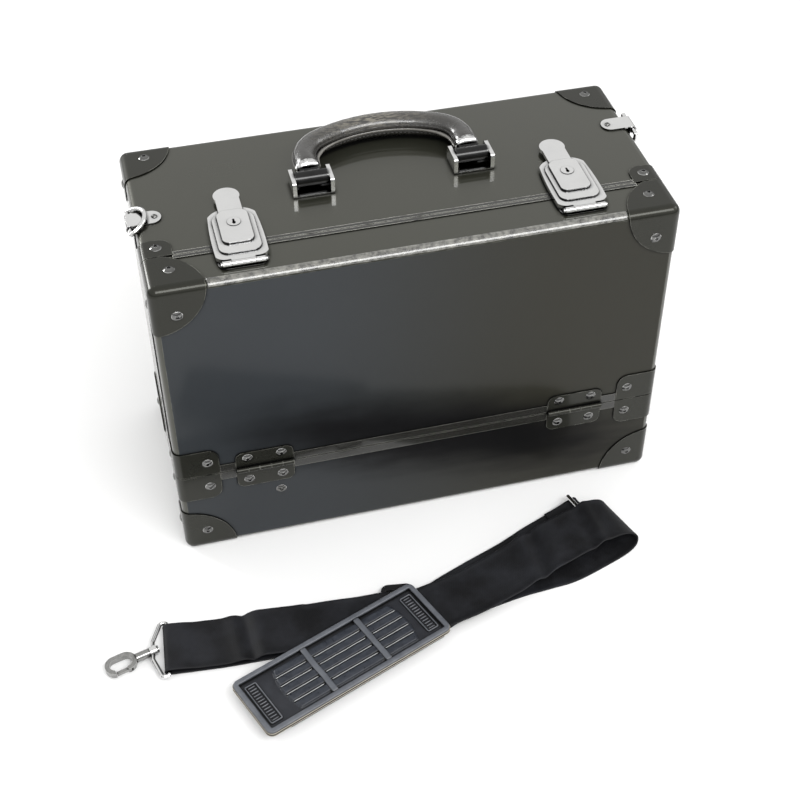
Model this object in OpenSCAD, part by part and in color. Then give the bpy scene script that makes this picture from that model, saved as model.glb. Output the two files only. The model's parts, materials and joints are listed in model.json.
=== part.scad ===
// Makeup case with a fall-front door, pull-out trays, a folding handle,
// two flip-up key latches and a loose shoulder strap lying in front of it.
// Millimetres. X to the right, Y to the back, Z up.
// The origin is the middle of the underside that the case stands on.

/* [Case] */
// Width over the corner guards
case_w = 400; // [340:1:460]
// Depth over the corner guards
case_d = 182; // [170:1:210]
// Height over the corner guards
case_h = 273; // [255:1:320]
// Thickness of the panels
wall = 4.5; // [4:0.5:6]
// Outer radius of the case's edges
edge_r = 6; // [5:0.5:8]
// Depth of the door, from the front face to the seam on the top
door_d = 39; // [36:1:46]
// Height of the seam on the front face
seam_z = 83; // [80:1:88]
// Gap between the door's edges and the body's edges
seam_gap = 0.8; // [0.6:0.1:1.2]
// Thickness of the lining paper
lining_t = 0.8; // [0.5:0.1:1.2]

/* [Guards and bands] */
// Thickness of the corner guards and seam plates
guard_t = 1; // [0.8:0.1:1.2]
// Reach of the bottom and door corner guards
guard_reach = 42; // [36:1:46]
// Reach of the rear top corner guards
rear_reach = 40; // [34:1:44]
// Thickness of the bands along the seam
band_t = 0.8; // [0.6:0.1:1]
// Width of the bands on the front face
band_w = 8; // [6:0.5:9]
// Width of the bands on the top and the sides
top_band_w = 4; // [3:0.5:6]
// Length of the seam plates along the front face
plate_w = 35; // [30:1:40]
// Height of the seam plates on the front face
plate_h = 26; // [24:1:30]
// Diameter of a rivet head
rivet_d = 8.4; // [7:0.2:9]
// Height of a rivet head
rivet_h = 1.6; // [1.2:0.1:2]

/* [Door hinges] */
// Distance from the case's side to the middle of each hinge
hinge_side = 71; // [62:1:90]
// Length of a hinge
hinge_w = 46; // [40:1:52]
// Radius of the hinge knuckles
knuckle_r = 2.2; // [2:0.1:2.6]
// Radius of the hinge pins
hinge_pin_r = 1.1; // [0.9:0.1:1.2]
// Height of the door's hinge leaf above the seam
door_leaf_h = 17; // [15:1:20]
// Height of the body's hinge leaf below the seam
body_leaf_h = 20; // [18:1:22]

/* [Latches] */
// Distance from the case's side to the middle of each latch
latch_side = 72; // [54:1:84]
// Width of the hasp
hasp_w = 39; // [35:1:43]
// Length of the hasp from its hinge to its shoulders
hasp_l = 63; // [60:1:66]
// Diameter of the thumb tab
tab_d = 20; // [16:1:22]
// Radius of the lock plug
plug_r = 5; // [4:0.5:5.5]

/* [Handle] */
// Distance from the middle of the case to the middle of each bracket
bracket_x = 62.6; // [56:0.2:70]
// Width of a bracket
bracket_w = 32; // [31:1:36]
// Depth of a bracket
bracket_d = 21.5; // [20:0.5:24]
// Height of the handle's pins above the top panel
pin_h = 9.5; // [9.4:0.1:11]
// Radius of the handle's pins
handle_pin_r = 2.5; // [2:0.1:3]
// Radius of the leather grip
grip_r = 9.4; // [8.6:0.1:9.4]
// Reach of the handle from its pins to the middle of the grip
handle_reach = 57; // [50:1:60]
// Radius of the bends beside the grip
bend_r = 26; // [22:1:28]

/* [Strap rings] */
// Radius of the ring wire
ring_wire_r = 1.75; // [1.5:0.05:2]
// Radius of the ring's bow, to the middle of the wire
ring_r = 14.25; // [13:0.25:16]
// Width of the ring tabs
tab_w = 15.5; // [14:0.5:17]
// Place of the left ring from the middle of the case's depth
ring_left_y = -3; // [-12:1:12]
// Place of the right ring from the middle of the case's depth
ring_right_y = 28; // [16:1:34]

/* [Trays] */
// Height of each tray
tray_h = 46; // [36:1:48]
// Step from one tray to the next
tray_pitch = 55; // [54:1:56]
// Thickness of the tray walls
tray_t = 2.5; // [2:0.5:3]
// Distance between the front of the trays and the seam
tray_back = 2; // [1:0.5:4]

/* [Shoulder strap] */
// Width of the webbing
web_w = 45; // [40:1:46]
// Thickness of the webbing
web_t = 1.4; // [1:0.1:1.5]
// Length of the shoulder pad
pad_l = 165; // [160:1:175]
// Width of the shoulder pad
pad_w = 55; // [54:1:62]
// Radius of the wire in the strap's end loops
loop_wire_r = 1.75; // [1.4:0.05:1.8]

/* [Hidden] */

$fn = 48;
sphere_fn = 96;
far = 1000;
seat = 0.3;
fit = 0.05;

black = [0.10, 0.10, 0.10];
fibre = [0.16, 0.16, 0.15];
lining_colour = [0.30, 0.28, 0.26];
nickel = [0.45, 0.45, 0.45];
chrome = [0.85, 0.85, 0.86];
leather = [0.14, 0.12, 0.11];
web_colour = [0.13, 0.13, 0.13];
rubber = [0.35, 0.36, 0.38];
tray_colour = [0.20, 0.20, 0.20];

// The faces of the panels lie inside the outer sizes by the guards' thickness, and the
// underside is flush with the guards
shell_x = case_w / 2 - guard_t;
shell_y = case_d / 2 - guard_t;
shell_bottom = 0;
shell_top = case_h - guard_t;
inner_x = shell_x - wall;
inner_y = shell_y - wall;
floor_z = shell_bottom + wall;
ceiling_z = shell_top - wall;
seam_y = -case_d / 2 + door_d;
half_gap = seam_gap / 2;
hinge_x = case_w / 2 - hinge_side;
latch_x = case_w / 2 - latch_side;

// The hinge line runs in front of the front face
hinge_y = -shell_y - knuckle_r - 0.4;
leaf_t = guard_t;

// The tongue inside the body's opening, which the door slips over
tongue_out = 6;
tongue_in = 8;
tongue_t = 1.2;
tongue_low = seam_z - tongue_in;
tongue_back = seam_y + tongue_in;

// Rivets, as places from the edges of the face that they are on
rivet_side = 19;
rear_rivet_in = 15;
low_rivet_z = 20;
door_rivet_drop = 25;
plate_rivet_in = 26;
plate_rivet_z = 13;
side_rivet_in = 18;
shank_r = 1.6;
hole_r = shank_r + fit;
small_rivet_d = 4.6;

// Every rivet is a place on a face and the turn that points it out of the face
function on_front(x, z) = [[x, -shell_y, z], [90, 0, 0]];
function on_back(x, z) = [[x, shell_y, z], [-90, 0, 0]];
function on_side(s, y, z) = [[s * shell_x, y, z], [0, s * 90, 0]];
function on_top(x, y) = [[x, y, shell_top], [0, 0, 0]];
sides = [-1, 1];
top_plate_reach = 24;
top_plate_back = 20;
top_plate_drop = 14;
leaf_rivet_x = 13.5;
door_leaf_rivet = 11;
body_leaf_rivet = 12.4;
rear_top_rivets = [for (s = sides) each [
    on_top(s * (case_w / 2 - rivet_side), case_d / 2 - rear_rivet_in),
    on_back(s * (case_w / 2 - rivet_side), case_h - rivet_side),
    on_side(s, case_d / 2 - rivet_side, case_h - rivet_side)]];
bottom_rivets = [for (s = sides) each [
    on_front(s * (case_w / 2 - rivet_side), low_rivet_z),
    on_back(s * (case_w / 2 - rivet_side), low_rivet_z),
    on_side(s, case_d / 2 - rivet_side, low_rivet_z),
    on_side(s, -case_d / 2 + rivet_side, low_rivet_z)]];
body_plate_rivets = [for (s = sides) each [
    on_front(s * (case_w / 2 - plate_rivet_in), seam_z - plate_rivet_z),
    on_side(s, -case_d / 2 + side_rivet_in, seam_z - plate_rivet_z),
    on_top(s * (case_w / 2 - 13), seam_y + 11)]];
body_leaf_rivets = [for (s = sides, i = sides)
    on_front(s * hinge_x + i * leaf_rivet_x, seam_z - body_leaf_rivet)];
spare_rivet = [on_front(-hinge_x + 11.3, seam_z - 31.3)];
door_guard_rivets = [for (s = sides) each [
    on_front(s * (case_w / 2 - rivet_side), case_h - door_rivet_drop),
    on_top(s * (case_w / 2 - rivet_side), -case_d / 2 + 22.7),
    on_side(s, -case_d / 2 + rivet_side, case_h - door_rivet_drop)]];
door_plate_rivets = [for (s = sides) each [
    on_front(s * (case_w / 2 - plate_rivet_in), seam_z + plate_rivet_z),
    on_side(s, -case_d / 2 + side_rivet_in, seam_z + plate_rivet_z)]];
door_leaf_rivets = [for (s = sides, i = sides)
    on_front(s * hinge_x + i * leaf_rivet_x, seam_z + door_leaf_rivet)];

// Latch places, on the top of the door and of the body
latch_hinge_y = seam_y - 23.4;
latch_hinge_z = shell_top + 3;
latch_knuckle_r = 2.3;
base_t = 1.2;
cover_low = shell_top + 2.6;
cover_top = shell_top + 5;
skirt_low = shell_top + 1.3;
lock_y = seam_y + 19;
lock_top = shell_top + 7.7;
pocket_top = shell_top + 5.8;
tab_y = latch_hinge_y + hasp_l + 15.4;

// Handle places; it lies folded back on the top panel at rest
pin_y = 4.25;
pin_z = shell_top + pin_h;
rest_tilt = 0.6;
eye_r = 6;
eye_w = bracket_w - 7;
leg_start = 12;
bend_turn = 62;
crown_turn = 90 - bend_turn;
crown_r = (bracket_x - bend_r * (1 - cos(bend_turn))) / sin(crown_turn);
leg_l = handle_reach - bend_r * sin(bend_turn) - crown_r * (1 - cos(crown_turn));
tongue_reach = 20;

// Strap ring places; the loop of each tab stands just outside the side panel
ring_x = shell_x + ring_wire_r + 1.55;
tab_t = 1.2;
barrel_r = ring_wire_r + 0.1 + tab_t;
ring_z = shell_top + tab_t - barrel_r;
ring_rest = 29;
tab_reach = 22;

// Tray places
tray_top_z = ceiling_z - 11.5;
tray_x = inner_x - 10;
flange_w = 6;
tray_front = seam_y + tray_back;
tray_end = inner_y - 5.5;

// The strap: a frame along its right-hand stretch, and the pad's own frame
strap_at = [-23.2, -205.4, 0];
strap_turn = 18.5;
pad_at = [-101, -238.6, 0];
pad_turn = 21.6;
lie = 0.1;
low_z = lie + web_t / 2;
eye_web_r = loop_wire_r + 0.25 + web_t / 2;
eye_x = -229;
eye_y = -190.5;
eye_z = 4.4;
under_z = 7.2;
in_pad_z = 10.8;
tail_eye_s = 165;
tail_low = low_z + web_t + 0.3;
tail_eye_z = tail_low + eye_web_r;
pad_lag = pad_turn - strap_turn;
pad_s = -84.3;
pad_q = -6.8;
function pad_line(s) = pad_q + (s - pad_s) * tan(pad_lag);
function arc(s, z, r, from, to, n) =
    [for (i = [0:n]) let (a = from + (to - from) * i / n) [s + r * cos(a), z + r * sin(a)]];

// Left stretch: doubled from the slider to the end loop and back, [x, y, z, turn]
hook_route = concat(
    [[-51.7, -201.8, 2.3, -8], [-53.2, -201.6, 4.3, -8], [-55.2, -201.4, 5.4, -8],
     [-59, -201, 5.7, -8], [-64, -200.3, 5.4, -8], [-76, -198.8, 3.4, -6], [-100, -196.5, 3, -3],
     [-120, -195.6, 3.3, -1], [-135, -195.3, 5.2, -1], [-150, -195, 6.6, -2],
     [-165, -194.8, 6, -3], [-185, -193.8, 4.2, -4], [-205, -192.2, 5.0, -5],
     [-220, -191.1, 6.6, -5]],
    [for (p = arc(eye_x, eye_z, eye_web_r, 90, 270, 6)) [p[0], eye_y, p[1], -5]],
    [[-215, -191.5, low_z + 0.3, -5], [-185, -193.8, low_z, -4], [-150, -195, low_z, -2],
     [-100, -196.5, low_z, -3], [-66, -200.1, low_z, -8], [-52, -201.8, low_z, -8]]);

// Right stretch, in the strap's frame, [along, across, z, turn]: from the sewn
// end eye back under the pad, through it, over the crest and round to the slider
long_route = concat(
    [[136, 11, 4.4, 0], [150, 11, 5.4, 0], [159, 11, 7.0, 0]],
    [for (p = arc(tail_eye_s, tail_eye_z, eye_web_r, 90, -90, 6)) [p[0], 11, p[1], 0]],
    [[154, 11, tail_low, 0], [147, 11.3, tail_low, 0], [117, 10, tail_low, 0],
     [87, 6.7, tail_low, 0], [49, 5.2, tail_low, 0], [24, 3, 3.4, 0], [4, -1, 6.4, 1],
     [-14, pad_line(-14), under_z, pad_lag], [-80, pad_line(-80), under_z, pad_lag],
     [-142, pad_line(-142), under_z, pad_lag]],
    [for (p = arc(-151.5, (under_z + in_pad_z) / 2, (in_pad_z - under_z) / 2, 270, 90, 6))
        [p[0], pad_line(p[0]), p[1], pad_lag]],
    [[-142, pad_line(-142), in_pad_z, pad_lag], [-80, pad_line(-80), in_pad_z, pad_lag],
     [-6, pad_line(-6), in_pad_z, pad_lag], [10, -3.4, 10.8, 2], [34, -5.4, 10.8, 0],
     [60, -5.6, 11.6, 0], [88, -5.6, 14.8, 0], [115, -6, 18.2, 0], [140, -6.4, 20.2, 0],
     [158, -7, 20.8, 0], [171, -8, 19.0, 0], [179, -9.2, 14.6, 0], [182, -10.6, 9.6, 0],
     [180.4, -12, 5, 0], [175, -13, 2, 0], [166, -13.8, low_z, 0], [150, -14.5, low_z, -2],
     [118, -14, low_z, -4], [98, -9.5, low_z, -5], [75, -4, low_z, -4], [50, 0, low_z, -3],
     [20, 3.4, low_z, 0], [-16, 8, low_z, 0]]);

// Length of a route along its points
function route_length(p) = len(p) < 2 ? 0 :
    [for (i = 0, t = 0; i < len(p); i = i + 1,
        t = i < len(p) ? t + norm([for (k = [0:2]) p[i][k] - p[i - 1][k]]) : t) t][len(p) - 1];
echo(hook_end_length = route_length(hook_route), long_length = route_length(long_route));

// The swivel hooks: places along the hook's own axis from the loop's narrow side
loop_depth = 11.5;
loop_half = 25.5;
loop_shoulder = 5;
loop_narrow = 8;
bead_r = 4.1;
bead_l = 5.5;
stem_r = 2;
hook_yaw_left = 20;
hook_yaw_right = 20;
hook_dip_right = 10;
hook_t = 4.5;
hook_out = 8.5;
hook_in = 5;
hook_a = 22;
hook_b = 30;
gate_off = 6.75;
gate_pin_r = 0.9;

module block(lo, hi) translate(lo) cube(hi - lo);

module rounded(w, h, r) {
    square([w - 2 * r, h], center = true);
    square([w, h - 2 * r], center = true);
    for (i = sides, j = sides) translate([i * (w / 2 - r), j * (h / 2 - r)]) circle(r = r);
}

module rod(p, q, r) {
    d = q - p;
    translate(p) rotate([0, acos(d[2] / norm(d)), atan2(d[1], d[0])])
        cylinder(r = r, h = norm(d));
}

// The case's rounded block, grown by o on every face
module form(o) {
    w = 2 * (shell_x + o);
    d = 2 * (shell_y + o);
    h = shell_top - shell_bottom + 2 * o;
    r = edge_r + o;
    translate([0, 0, (shell_top + shell_bottom) / 2]) difference() {
        intersection() {
            linear_extrude(height = h, center = true) rounded(w, d, r);
            rotate([90, 0, 0]) linear_extrude(height = d, center = true) rounded(w, h, r);
            rotate([90, 0, 90]) linear_extrude(height = w, center = true) rounded(d, h, r);
        }
        for (i = sides, j = sides, k = sides)
            translate([i * (w / 2 - r), j * (d / 2 - r), k * (h / 2 - r)]) difference() {
                translate([i * r, j * r, k * r]) cube(2 * r, center = true);
                sphere(r = r, $fn = sphere_fn);
            }
    }
}

module skin(t) difference() {
    form(t);
    form(0);
}

module in_body() {
    block([-far, seam_y + half_gap, -far], [far, far, far]);
    block([-far, -far, -far], [far, far, seam_z - half_gap]);
}

module in_door() block([-far, -far, seam_z + half_gap], [far, seam_y - half_gap, far]);

module panel(lo, hi) intersection() {
    form(0);
    block(lo, hi);
}

module body_top_panel() color(fibre)
    panel([-far, seam_y + half_gap, ceiling_z], [far, far, far]);

module body_bottom_panel() color(fibre) panel([-far, -far, -far], [far, far, floor_z]);

module body_back_panel() color(fibre)
    panel([-inner_x, inner_y, floor_z], [inner_x, far, ceiling_z]);

module body_front_panel() color(fibre)
    panel([-inner_x, -far, floor_z], [inner_x, -inner_y, seam_z - half_gap]);

module body_side(s) color(fibre) intersection() {
    panel([s < 0 ? -far : inner_x, -far, floor_z], [s < 0 ? -inner_x : far, far, ceiling_z]);
    in_body();
}

module door_front_panel() color(black)
    panel([-inner_x, -far, seam_z + half_gap], [inner_x, -inner_y, ceiling_z]);

module door_top_panel() color(fibre)
    panel([-far, -far, ceiling_z], [far, seam_y - half_gap, far]);

module door_side(s) color(fibre) intersection() {
    panel([s < 0 ? -far : inner_x, -far, seam_z], [s < 0 ? -inner_x : far, far, ceiling_z]);
    in_door();
}

module body_lining() color(lining_colour) difference() {
    union() {
        block([-inner_x, -inner_y, floor_z], [inner_x, inner_y, tongue_low]);
        block([-inner_x, tongue_back, floor_z], [inner_x, inner_y, ceiling_z]);
    }
    block([lining_t - inner_x, lining_t - inner_y, floor_z + lining_t],
        [inner_x - lining_t, inner_y - lining_t, ceiling_z - lining_t]);
    block([lining_t - inner_x, -far, tongue_low], [inner_x - lining_t, 0, ceiling_z - lining_t]);
}

module door_lining() color(lining_colour) {
    back = seam_y - tongue_out - 1;
    low = seam_z + tongue_out + 1;
    difference() {
        block([-inner_x, -inner_y, low], [inner_x, back, ceiling_z]);
        block([lining_t - inner_x, lining_t - inner_y, -far],
            [inner_x - lining_t, far, ceiling_z - lining_t]);
    }
}

// Outline of the tongue on a side wall, as [y, z]; o moves its outer edges in
function tongue_outline(reach, o) = [
    [seam_y - reach, ceiling_z - o], [tongue_back, ceiling_z - o], [tongue_back, tongue_low],
    [o - inner_y, tongue_low], [o - inner_y, seam_z + reach], [seam_y - reach, seam_z + reach]];

module body_valance() color(nickel) {
    for (s = sides) {
        translate([s * (inner_x - (seat + tongue_t) / 2), 0, 0]) rotate([90, 0, 90])
            linear_extrude(height = seat + tongue_t, center = true)
                polygon(tongue_outline(0, 0));
        translate([s * (inner_x - seat - tongue_t / 2), 0, 0]) rotate([90, 0, 90])
            linear_extrude(height = tongue_t, center = true)
                polygon(tongue_outline(tongue_out, seat));
    }
    x = inner_x - seat;
    block([-x, seam_y, ceiling_z - seat - tongue_t], [x, tongue_back, ceiling_z]);
    block([-x, seam_y - tongue_out, ceiling_z - seat - tongue_t],
        [x, tongue_back, ceiling_z - seat]);
    block([-x, -inner_y, tongue_low], [x, seat + tongue_t - inner_y, seam_z - half_gap]);
    block([-x, seat - inner_y, tongue_low],
        [x, seat + tongue_t - inner_y, seam_z + tongue_out]);
}

plate_x = case_w / 2 - plate_w;
leaf_in = hinge_x - hinge_w / 2;
leaf_out = hinge_x + hinge_w / 2;
side_plate_y = plate_h - case_d / 2;

// Where the bands on the front face run, clear of the hinges and the seam plates
module front_band_runs(z0, z1) {
    for (s = sides) {
        a = s * (leaf_out + seat);
        b = s * (plate_x - seat);
        block([min(a, b), -far, z0], [max(a, b), -inner_y, z1]);
    }
    block([seat - leaf_in, -far, z0], [leaf_in - seat, -inner_y, z1]);
}

module body_seam_bands() color(black) intersection() {
    skin(band_t);
    union() {
        front_band_runs(seam_z - band_w, seam_z - half_gap);
        x = case_w / 2 - top_plate_reach - seat;
        block([-x, seam_y + half_gap, ceiling_z], [x, seam_y + top_band_w, far]);
        for (s = sides) {
            x0 = s < 0 ? -far : inner_x;
            x1 = s < 0 ? -inner_x : far;
            block([x0, seam_y + half_gap, seam_z - band_w],
                [x1, seam_y + top_band_w, case_h - top_plate_drop - seat]);
            block([x0, side_plate_y + seat, seam_z - band_w],
                [x1, seam_y + top_band_w, seam_z - half_gap]);
        }
    }
}

module door_seam_bands() color(black) intersection() {
    skin(band_t);
    union() {
        front_band_runs(seam_z + half_gap, seam_z + band_w);
        x = case_w / 2 - guard_chord(door_d - top_band_w) - seat;
        block([-x, seam_y - top_band_w, ceiling_z], [x, seam_y - half_gap, far]);
        for (s = sides) {
            x0 = s < 0 ? -far : inner_x;
            x1 = s < 0 ? -inner_x : far;
            block([x0, seam_y - top_band_w, seam_z + half_gap],
                [x1, seam_y - half_gap, case_h - guard_chord(door_d - top_band_w) - seat]);
            block([x0, side_plate_y + seat, seam_z + half_gap],
                [x1, seam_y - half_gap, seam_z + band_w]);
        }
    }
}

// How far a corner guard reaches along an edge, at a distance d from that edge
function guard_chord(d) = sqrt(max(guard_reach * guard_reach - d * d, 1));

module holes(rivets, r) for (p = rivets)
    translate(p[0]) rotate(p[1]) cylinder(r = r, h = 4 * guard_t, center = true);

module corner_guard(s, y, z, reach) intersection() {
    skin(guard_t);
    translate([s * case_w / 2, y, z]) sphere(r = reach, $fn = sphere_fn);
}

module rear_corner_guards() color(black) difference() {
    for (s = sides) corner_guard(s, case_d / 2, case_h, rear_reach);
    holes(rear_top_rivets, hole_r);
}

module bottom_corner_guards() color(black) difference() {
    for (s = sides, t = sides) corner_guard(s, t * case_d / 2, 0, guard_reach);
    holes(bottom_rivets, hole_r);
    block([-far, -far, -far], [far, far, 0]);
}

module door_corner_guards() color(black) difference() {
    intersection() {
        for (s = sides) corner_guard(s, -case_d / 2, case_h, guard_reach);
        in_door();
    }
    holes(door_guard_rivets, hole_r);
}

// A plate that folds round the front edge, rounded at its free corners
module edge_plate(s, z0, z1, mid) intersection() {
    skin(guard_t);
    union() {
        translate([s * (plate_x + plate_w), edge_r - shell_y, mid]) rotate([90, 0, 0])
            linear_extrude(height = far) rounded(2 * plate_w, 2 * plate_h, plate_corner_r);
        translate([s * (shell_x - edge_r + far / 2), -case_d / 2, mid]) rotate([90, 0, 90])
            linear_extrude(height = far, center = true)
                rounded(2 * plate_h, 2 * plate_h, plate_corner_r);
    }
    block([-far, -far, z0], [far, side_plate_y, z1]);
    block([s < 0 ? -far : plate_x, -far, z0], [s < 0 ? -plate_x : far, far, z1]);
}
plate_corner_r = 9;

module door_seam_plates() color(black) difference() {
    for (s = sides) edge_plate(s, seam_z + half_gap, seam_z + plate_h, seam_z);
    holes(door_plate_rivets, hole_r);
}

module body_seam_plates() color(black) difference() {
    for (s = sides) {
        edge_plate(s, seam_z - plate_h, seam_z - half_gap, seam_z);
        intersection() {
            skin(guard_t);
            translate([s * case_w / 2, seam_y, 0]) linear_extrude(height = far)
                rounded(2 * top_plate_reach, 2 * top_plate_back, plate_corner_r);
            block([-far, seam_y + half_gap, case_h - top_plate_drop], [far, far, far]);
        }
    }
    holes(body_plate_rivets, hole_r);
}

module rivet(d, plate) {
    cap_r = (d * d / 4 + rivet_h * rivet_h) / (2 * rivet_h);
    cylinder(r = d > small_rivet_d ? shank_r : shank_r - 0.6, h = plate + 0.2);
    translate([0, 0, plate]) difference() {
        intersection() {
            translate([0, 0, rivet_h - cap_r]) sphere(r = cap_r, $fn = sphere_fn);
            cylinder(r = d / 2, h = rivet_h);
        }
        translate([0, 0, rivet_h - d / 12]) cylinder(r = d / 6, h = rivet_h);
    }
}

module rivets(places, d, plate) for (p = places) translate(p[0]) rotate(p[1]) rivet(d, plate);

tab_rivets = [for (s = sides) let (y = s < 0 ? ring_left_y : ring_right_y) each [
    on_top(s * (case_w / 2 - tab_reach + 5), y), on_side(s, y, ring_z - 7.6)]];

module body_rivets() color(nickel) {
    rivets(concat(rear_top_rivets, bottom_rivets, body_plate_rivets, body_leaf_rivets), rivet_d,
        guard_t);
    rivets(tab_rivets, small_rivet_d, tab_t);
    for (p = spare_rivet) translate(p[0]) rotate(p[1]) translate([0, 0, -guard_t])
        intersection() {
            rivet(rivet_d, guard_t);
            cylinder(r = rivet_d, h = far);
            translate([0, 0, guard_t]) cylinder(r = rivet_d, h = far);
        }
}

module door_rivets() color(nickel)
    rivets(concat(door_guard_rivets, door_plate_rivets, door_leaf_rivets), rivet_d, guard_t);

// One hinge leaf: up is 1 for the door's leaf and -1 for the body's leaf
knuckles = 5;
knuckle_gap = 0.3;
module hinge_leaf(s, up, height, rivets) color(black) {
    step = hinge_w / knuckles;
    first = up > 0 ? 1 : 0;
    clear_z = sqrt(pow(knuckle_r, 2) - pow(knuckle_r - 0.6, 2)) + knuckle_gap;
    translate([s * hinge_x, 0, seam_z]) difference() {
        union() {
            intersection() {
                rotate([90, 0, 0]) linear_extrude(height = far)
                    rounded(hinge_w, 2 * height, 6);
                block([-far, -shell_y - leaf_t, up > 0 ? clear_z : -far],
                    [far, -shell_y, up > 0 ? far : -clear_z]);
            }
            for (i = [first:2:knuckles - 1]) {
                x0 = -hinge_w / 2 + i * step + knuckle_gap / 2;
                x1 = x0 + step - knuckle_gap;
                block([x0, -shell_y - leaf_t, min(0, up * 3)],
                    [x1, -shell_y, max(0, up * 3)]);
                translate([x0, hinge_y, 0]) rotate([0, 90, 0])
                    cylinder(r = knuckle_r, h = x1 - x0);
            }
        }
        translate([0, hinge_y, 0]) rotate([0, 90, 0])
            cylinder(r = hinge_pin_r + fit, h = 2 * hinge_w, center = true);
        translate([-s * hinge_x, 0, -seam_z]) holes(rivets, hole_r);
    }
}

module hinge_pins() color(chrome) for (s = sides)
    translate([s * hinge_x, hinge_y, seam_z]) rotate([0, 90, 0])
        cylinder(r = hinge_pin_r, h = hinge_w, center = true);

// The latch's fixed half on the door: a plate with two knuckles and their pin
latch_knuckle_in = 9;
latch_knuckle_out = 15.5;
latch_pin_r = 1.1;
base_w = hasp_w - 2;
base_lip = 3.2;
module latch_base(s) color(chrome) translate([s * latch_x, 0, 0]) {
    w = latch_knuckle_out;
    difference() {
        translate([0, latch_hinge_y - base_lip, shell_top]) linear_extrude(height = base_t)
            intersection() {
                translate([0, base_w]) rounded(base_w, 2 * base_w, 7);
                translate([-base_w, 0])
                    square([2 * base_w, seam_y - 5 - latch_hinge_y + base_lip]);
            }
        translate([0, latch_hinge_y, latch_hinge_z]) rotate([0, 90, 0])
            cylinder(r = latch_knuckle_r + 0.3, h = 2 * latch_knuckle_in, center = true);
    }
    translate([0, latch_hinge_y, latch_hinge_z]) rotate([0, 90, 0])
        for (t = sides) translate([0, 0, t * (w + 0.5)])
            cylinder(r = latch_pin_r + 0.6, h = 1.4, center = true);
    for (t = sides) {
        x0 = t < 0 ? -w : latch_knuckle_in;
        translate([x0, latch_hinge_y, latch_hinge_z]) rotate([0, 90, 0])
            cylinder(r = latch_knuckle_r, h = w - latch_knuckle_in);
    }
    translate([0, latch_hinge_y, latch_hinge_z]) rotate([0, 90, 0])
        cylinder(r = latch_pin_r, h = 2 * latch_knuckle_in + 1, center = true);
}

// A rounded plate whose two corners away from the hinge are rounder
module shield(w, h, low_r, high_r) intersection() {
    rounded(w, h, low_r);
    translate([0, -h / 2]) rounded(w, 2 * h, high_r);
}

// Its long sides bow out a little, widest near the hinge
side_bow_r = 320;
module hasp_outline(inset) intersection() {
    translate([0, latch_hinge_y + 2.8 + (hasp_l - 2.8) / 2])
        shield(hasp_w + 1 - 2 * inset, hasp_l - 2.8 - 2 * inset, 8 - inset, 16 - inset);
    translate([side_bow_r - hasp_w / 2 + inset, latch_hinge_y + 22])
        circle(r = side_bow_r, $fn = 360);
    translate([hasp_w / 2 - side_bow_r - inset, latch_hinge_y + 22])
        circle(r = side_bow_r, $fn = 360);
}

module hasp(s) color(chrome) translate([s * latch_x, 0, 0]) difference() {
    union() {
        translate([0, 0, skirt_low]) linear_extrude(height = cover_top - skirt_low)
            hasp_outline(0);
        translate([0, 0, cover_top - 1]) linear_extrude(height = 2.2)
            translate([0, lock_y - 9]) shield(31, 50, 7, 12);
        translate([0, 0, cover_top]) linear_extrude(height = lock_top - cover_top)
            translate([0, lock_y - 4.5]) shield(23, 39, 5, 7);
        translate([0, 0, cover_top - 2]) linear_extrude(height = 3) {
            translate([0, tab_y]) circle(d = tab_d);
            translate([0, (tab_y + lock_y) / 2]) square([18, tab_y - lock_y], center = true);
        }
        translate([0, latch_hinge_y, latch_hinge_z]) rotate([0, 90, 0])
            cylinder(r = latch_knuckle_r, h = 2 * latch_knuckle_in - 0.6, center = true);
        block([0.3 - latch_knuckle_in, latch_hinge_y, latch_hinge_z],
            [latch_knuckle_in - 0.3, latch_hinge_y + 5, cover_top]);
    }
    translate([0, 0, skirt_low - 1]) linear_extrude(height = cover_low - skirt_low + 1)
        hasp_outline(1.6);
    block([-7.5, lock_y - 18, skirt_low - 1], [7.5, lock_y + 12, pocket_top]);
    translate([0, lock_y, 0]) cylinder(r = plug_r + fit, h = far);
    translate([0, latch_hinge_y, latch_hinge_z]) rotate([0, 90, 0])
        cylinder(r = latch_pin_r + fit, h = hasp_w, center = true);
}

// The plug's finger turns forward under the lip of the keeper on the body
finger_low = shell_top + 1.3;
finger_l = 12.6;
module lock_plug(s) color(chrome) translate([s * latch_x, lock_y, 0]) {
    difference() {
        translate([0, 0, pocket_top - 1.4])
            cylinder(r = plug_r, h = lock_top + 0.4 - pocket_top + 1.4);
        block([-0.8, -3, lock_top - 2], [0.8, 3, far]);
        translate([0, -1.2, lock_top - 2]) cylinder(r = 1.4, h = far);
    }
    translate([0, 0, finger_low]) cylinder(r = 2, h = pocket_top - 1 - finger_low);
    block([min(0, -s * finger_l), -1.5, finger_low],
        [max(0, -s * finger_l), 1.5, finger_low + 1]);
}

module staple(s) color(chrome) translate([s * latch_x, lock_y, shell_top]) difference() {
    union() {
        translate([0, -7, 0]) linear_extrude(height = 1) rounded(14, 15, 3);
        block([-3.5, -14.5, 0], [3.5, -9.5, 3.6]);
    }
    block([-far, -13, 1], [far, 0, 2.6]);
}

module handle_bracket(s) color(chrome) translate([s * bracket_x, pin_y, shell_top])
    difference() {
        union() {
            block([-bracket_w / 2, -bracket_d / 2, 0], [bracket_w / 2, bracket_d / 2, 1.5]);
            for (t = sides) translate([t * (bracket_w / 2 - 1.5), 0, (pin_h + 4) / 2])
                rotate([90, 0, 90]) linear_extrude(height = 3, center = true)
                    rounded(bracket_d, pin_h + 4, 2.5);
            for (t = sides) translate([t * (bracket_w / 2 - 1.5), 0, 1.5])
                cube([3, bracket_d, 3], center = true);
        }
        translate([0, 0, pin_h]) rotate([0, 90, 0])
            cylinder(r = handle_pin_r + fit, h = far, center = true);
    }

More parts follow.
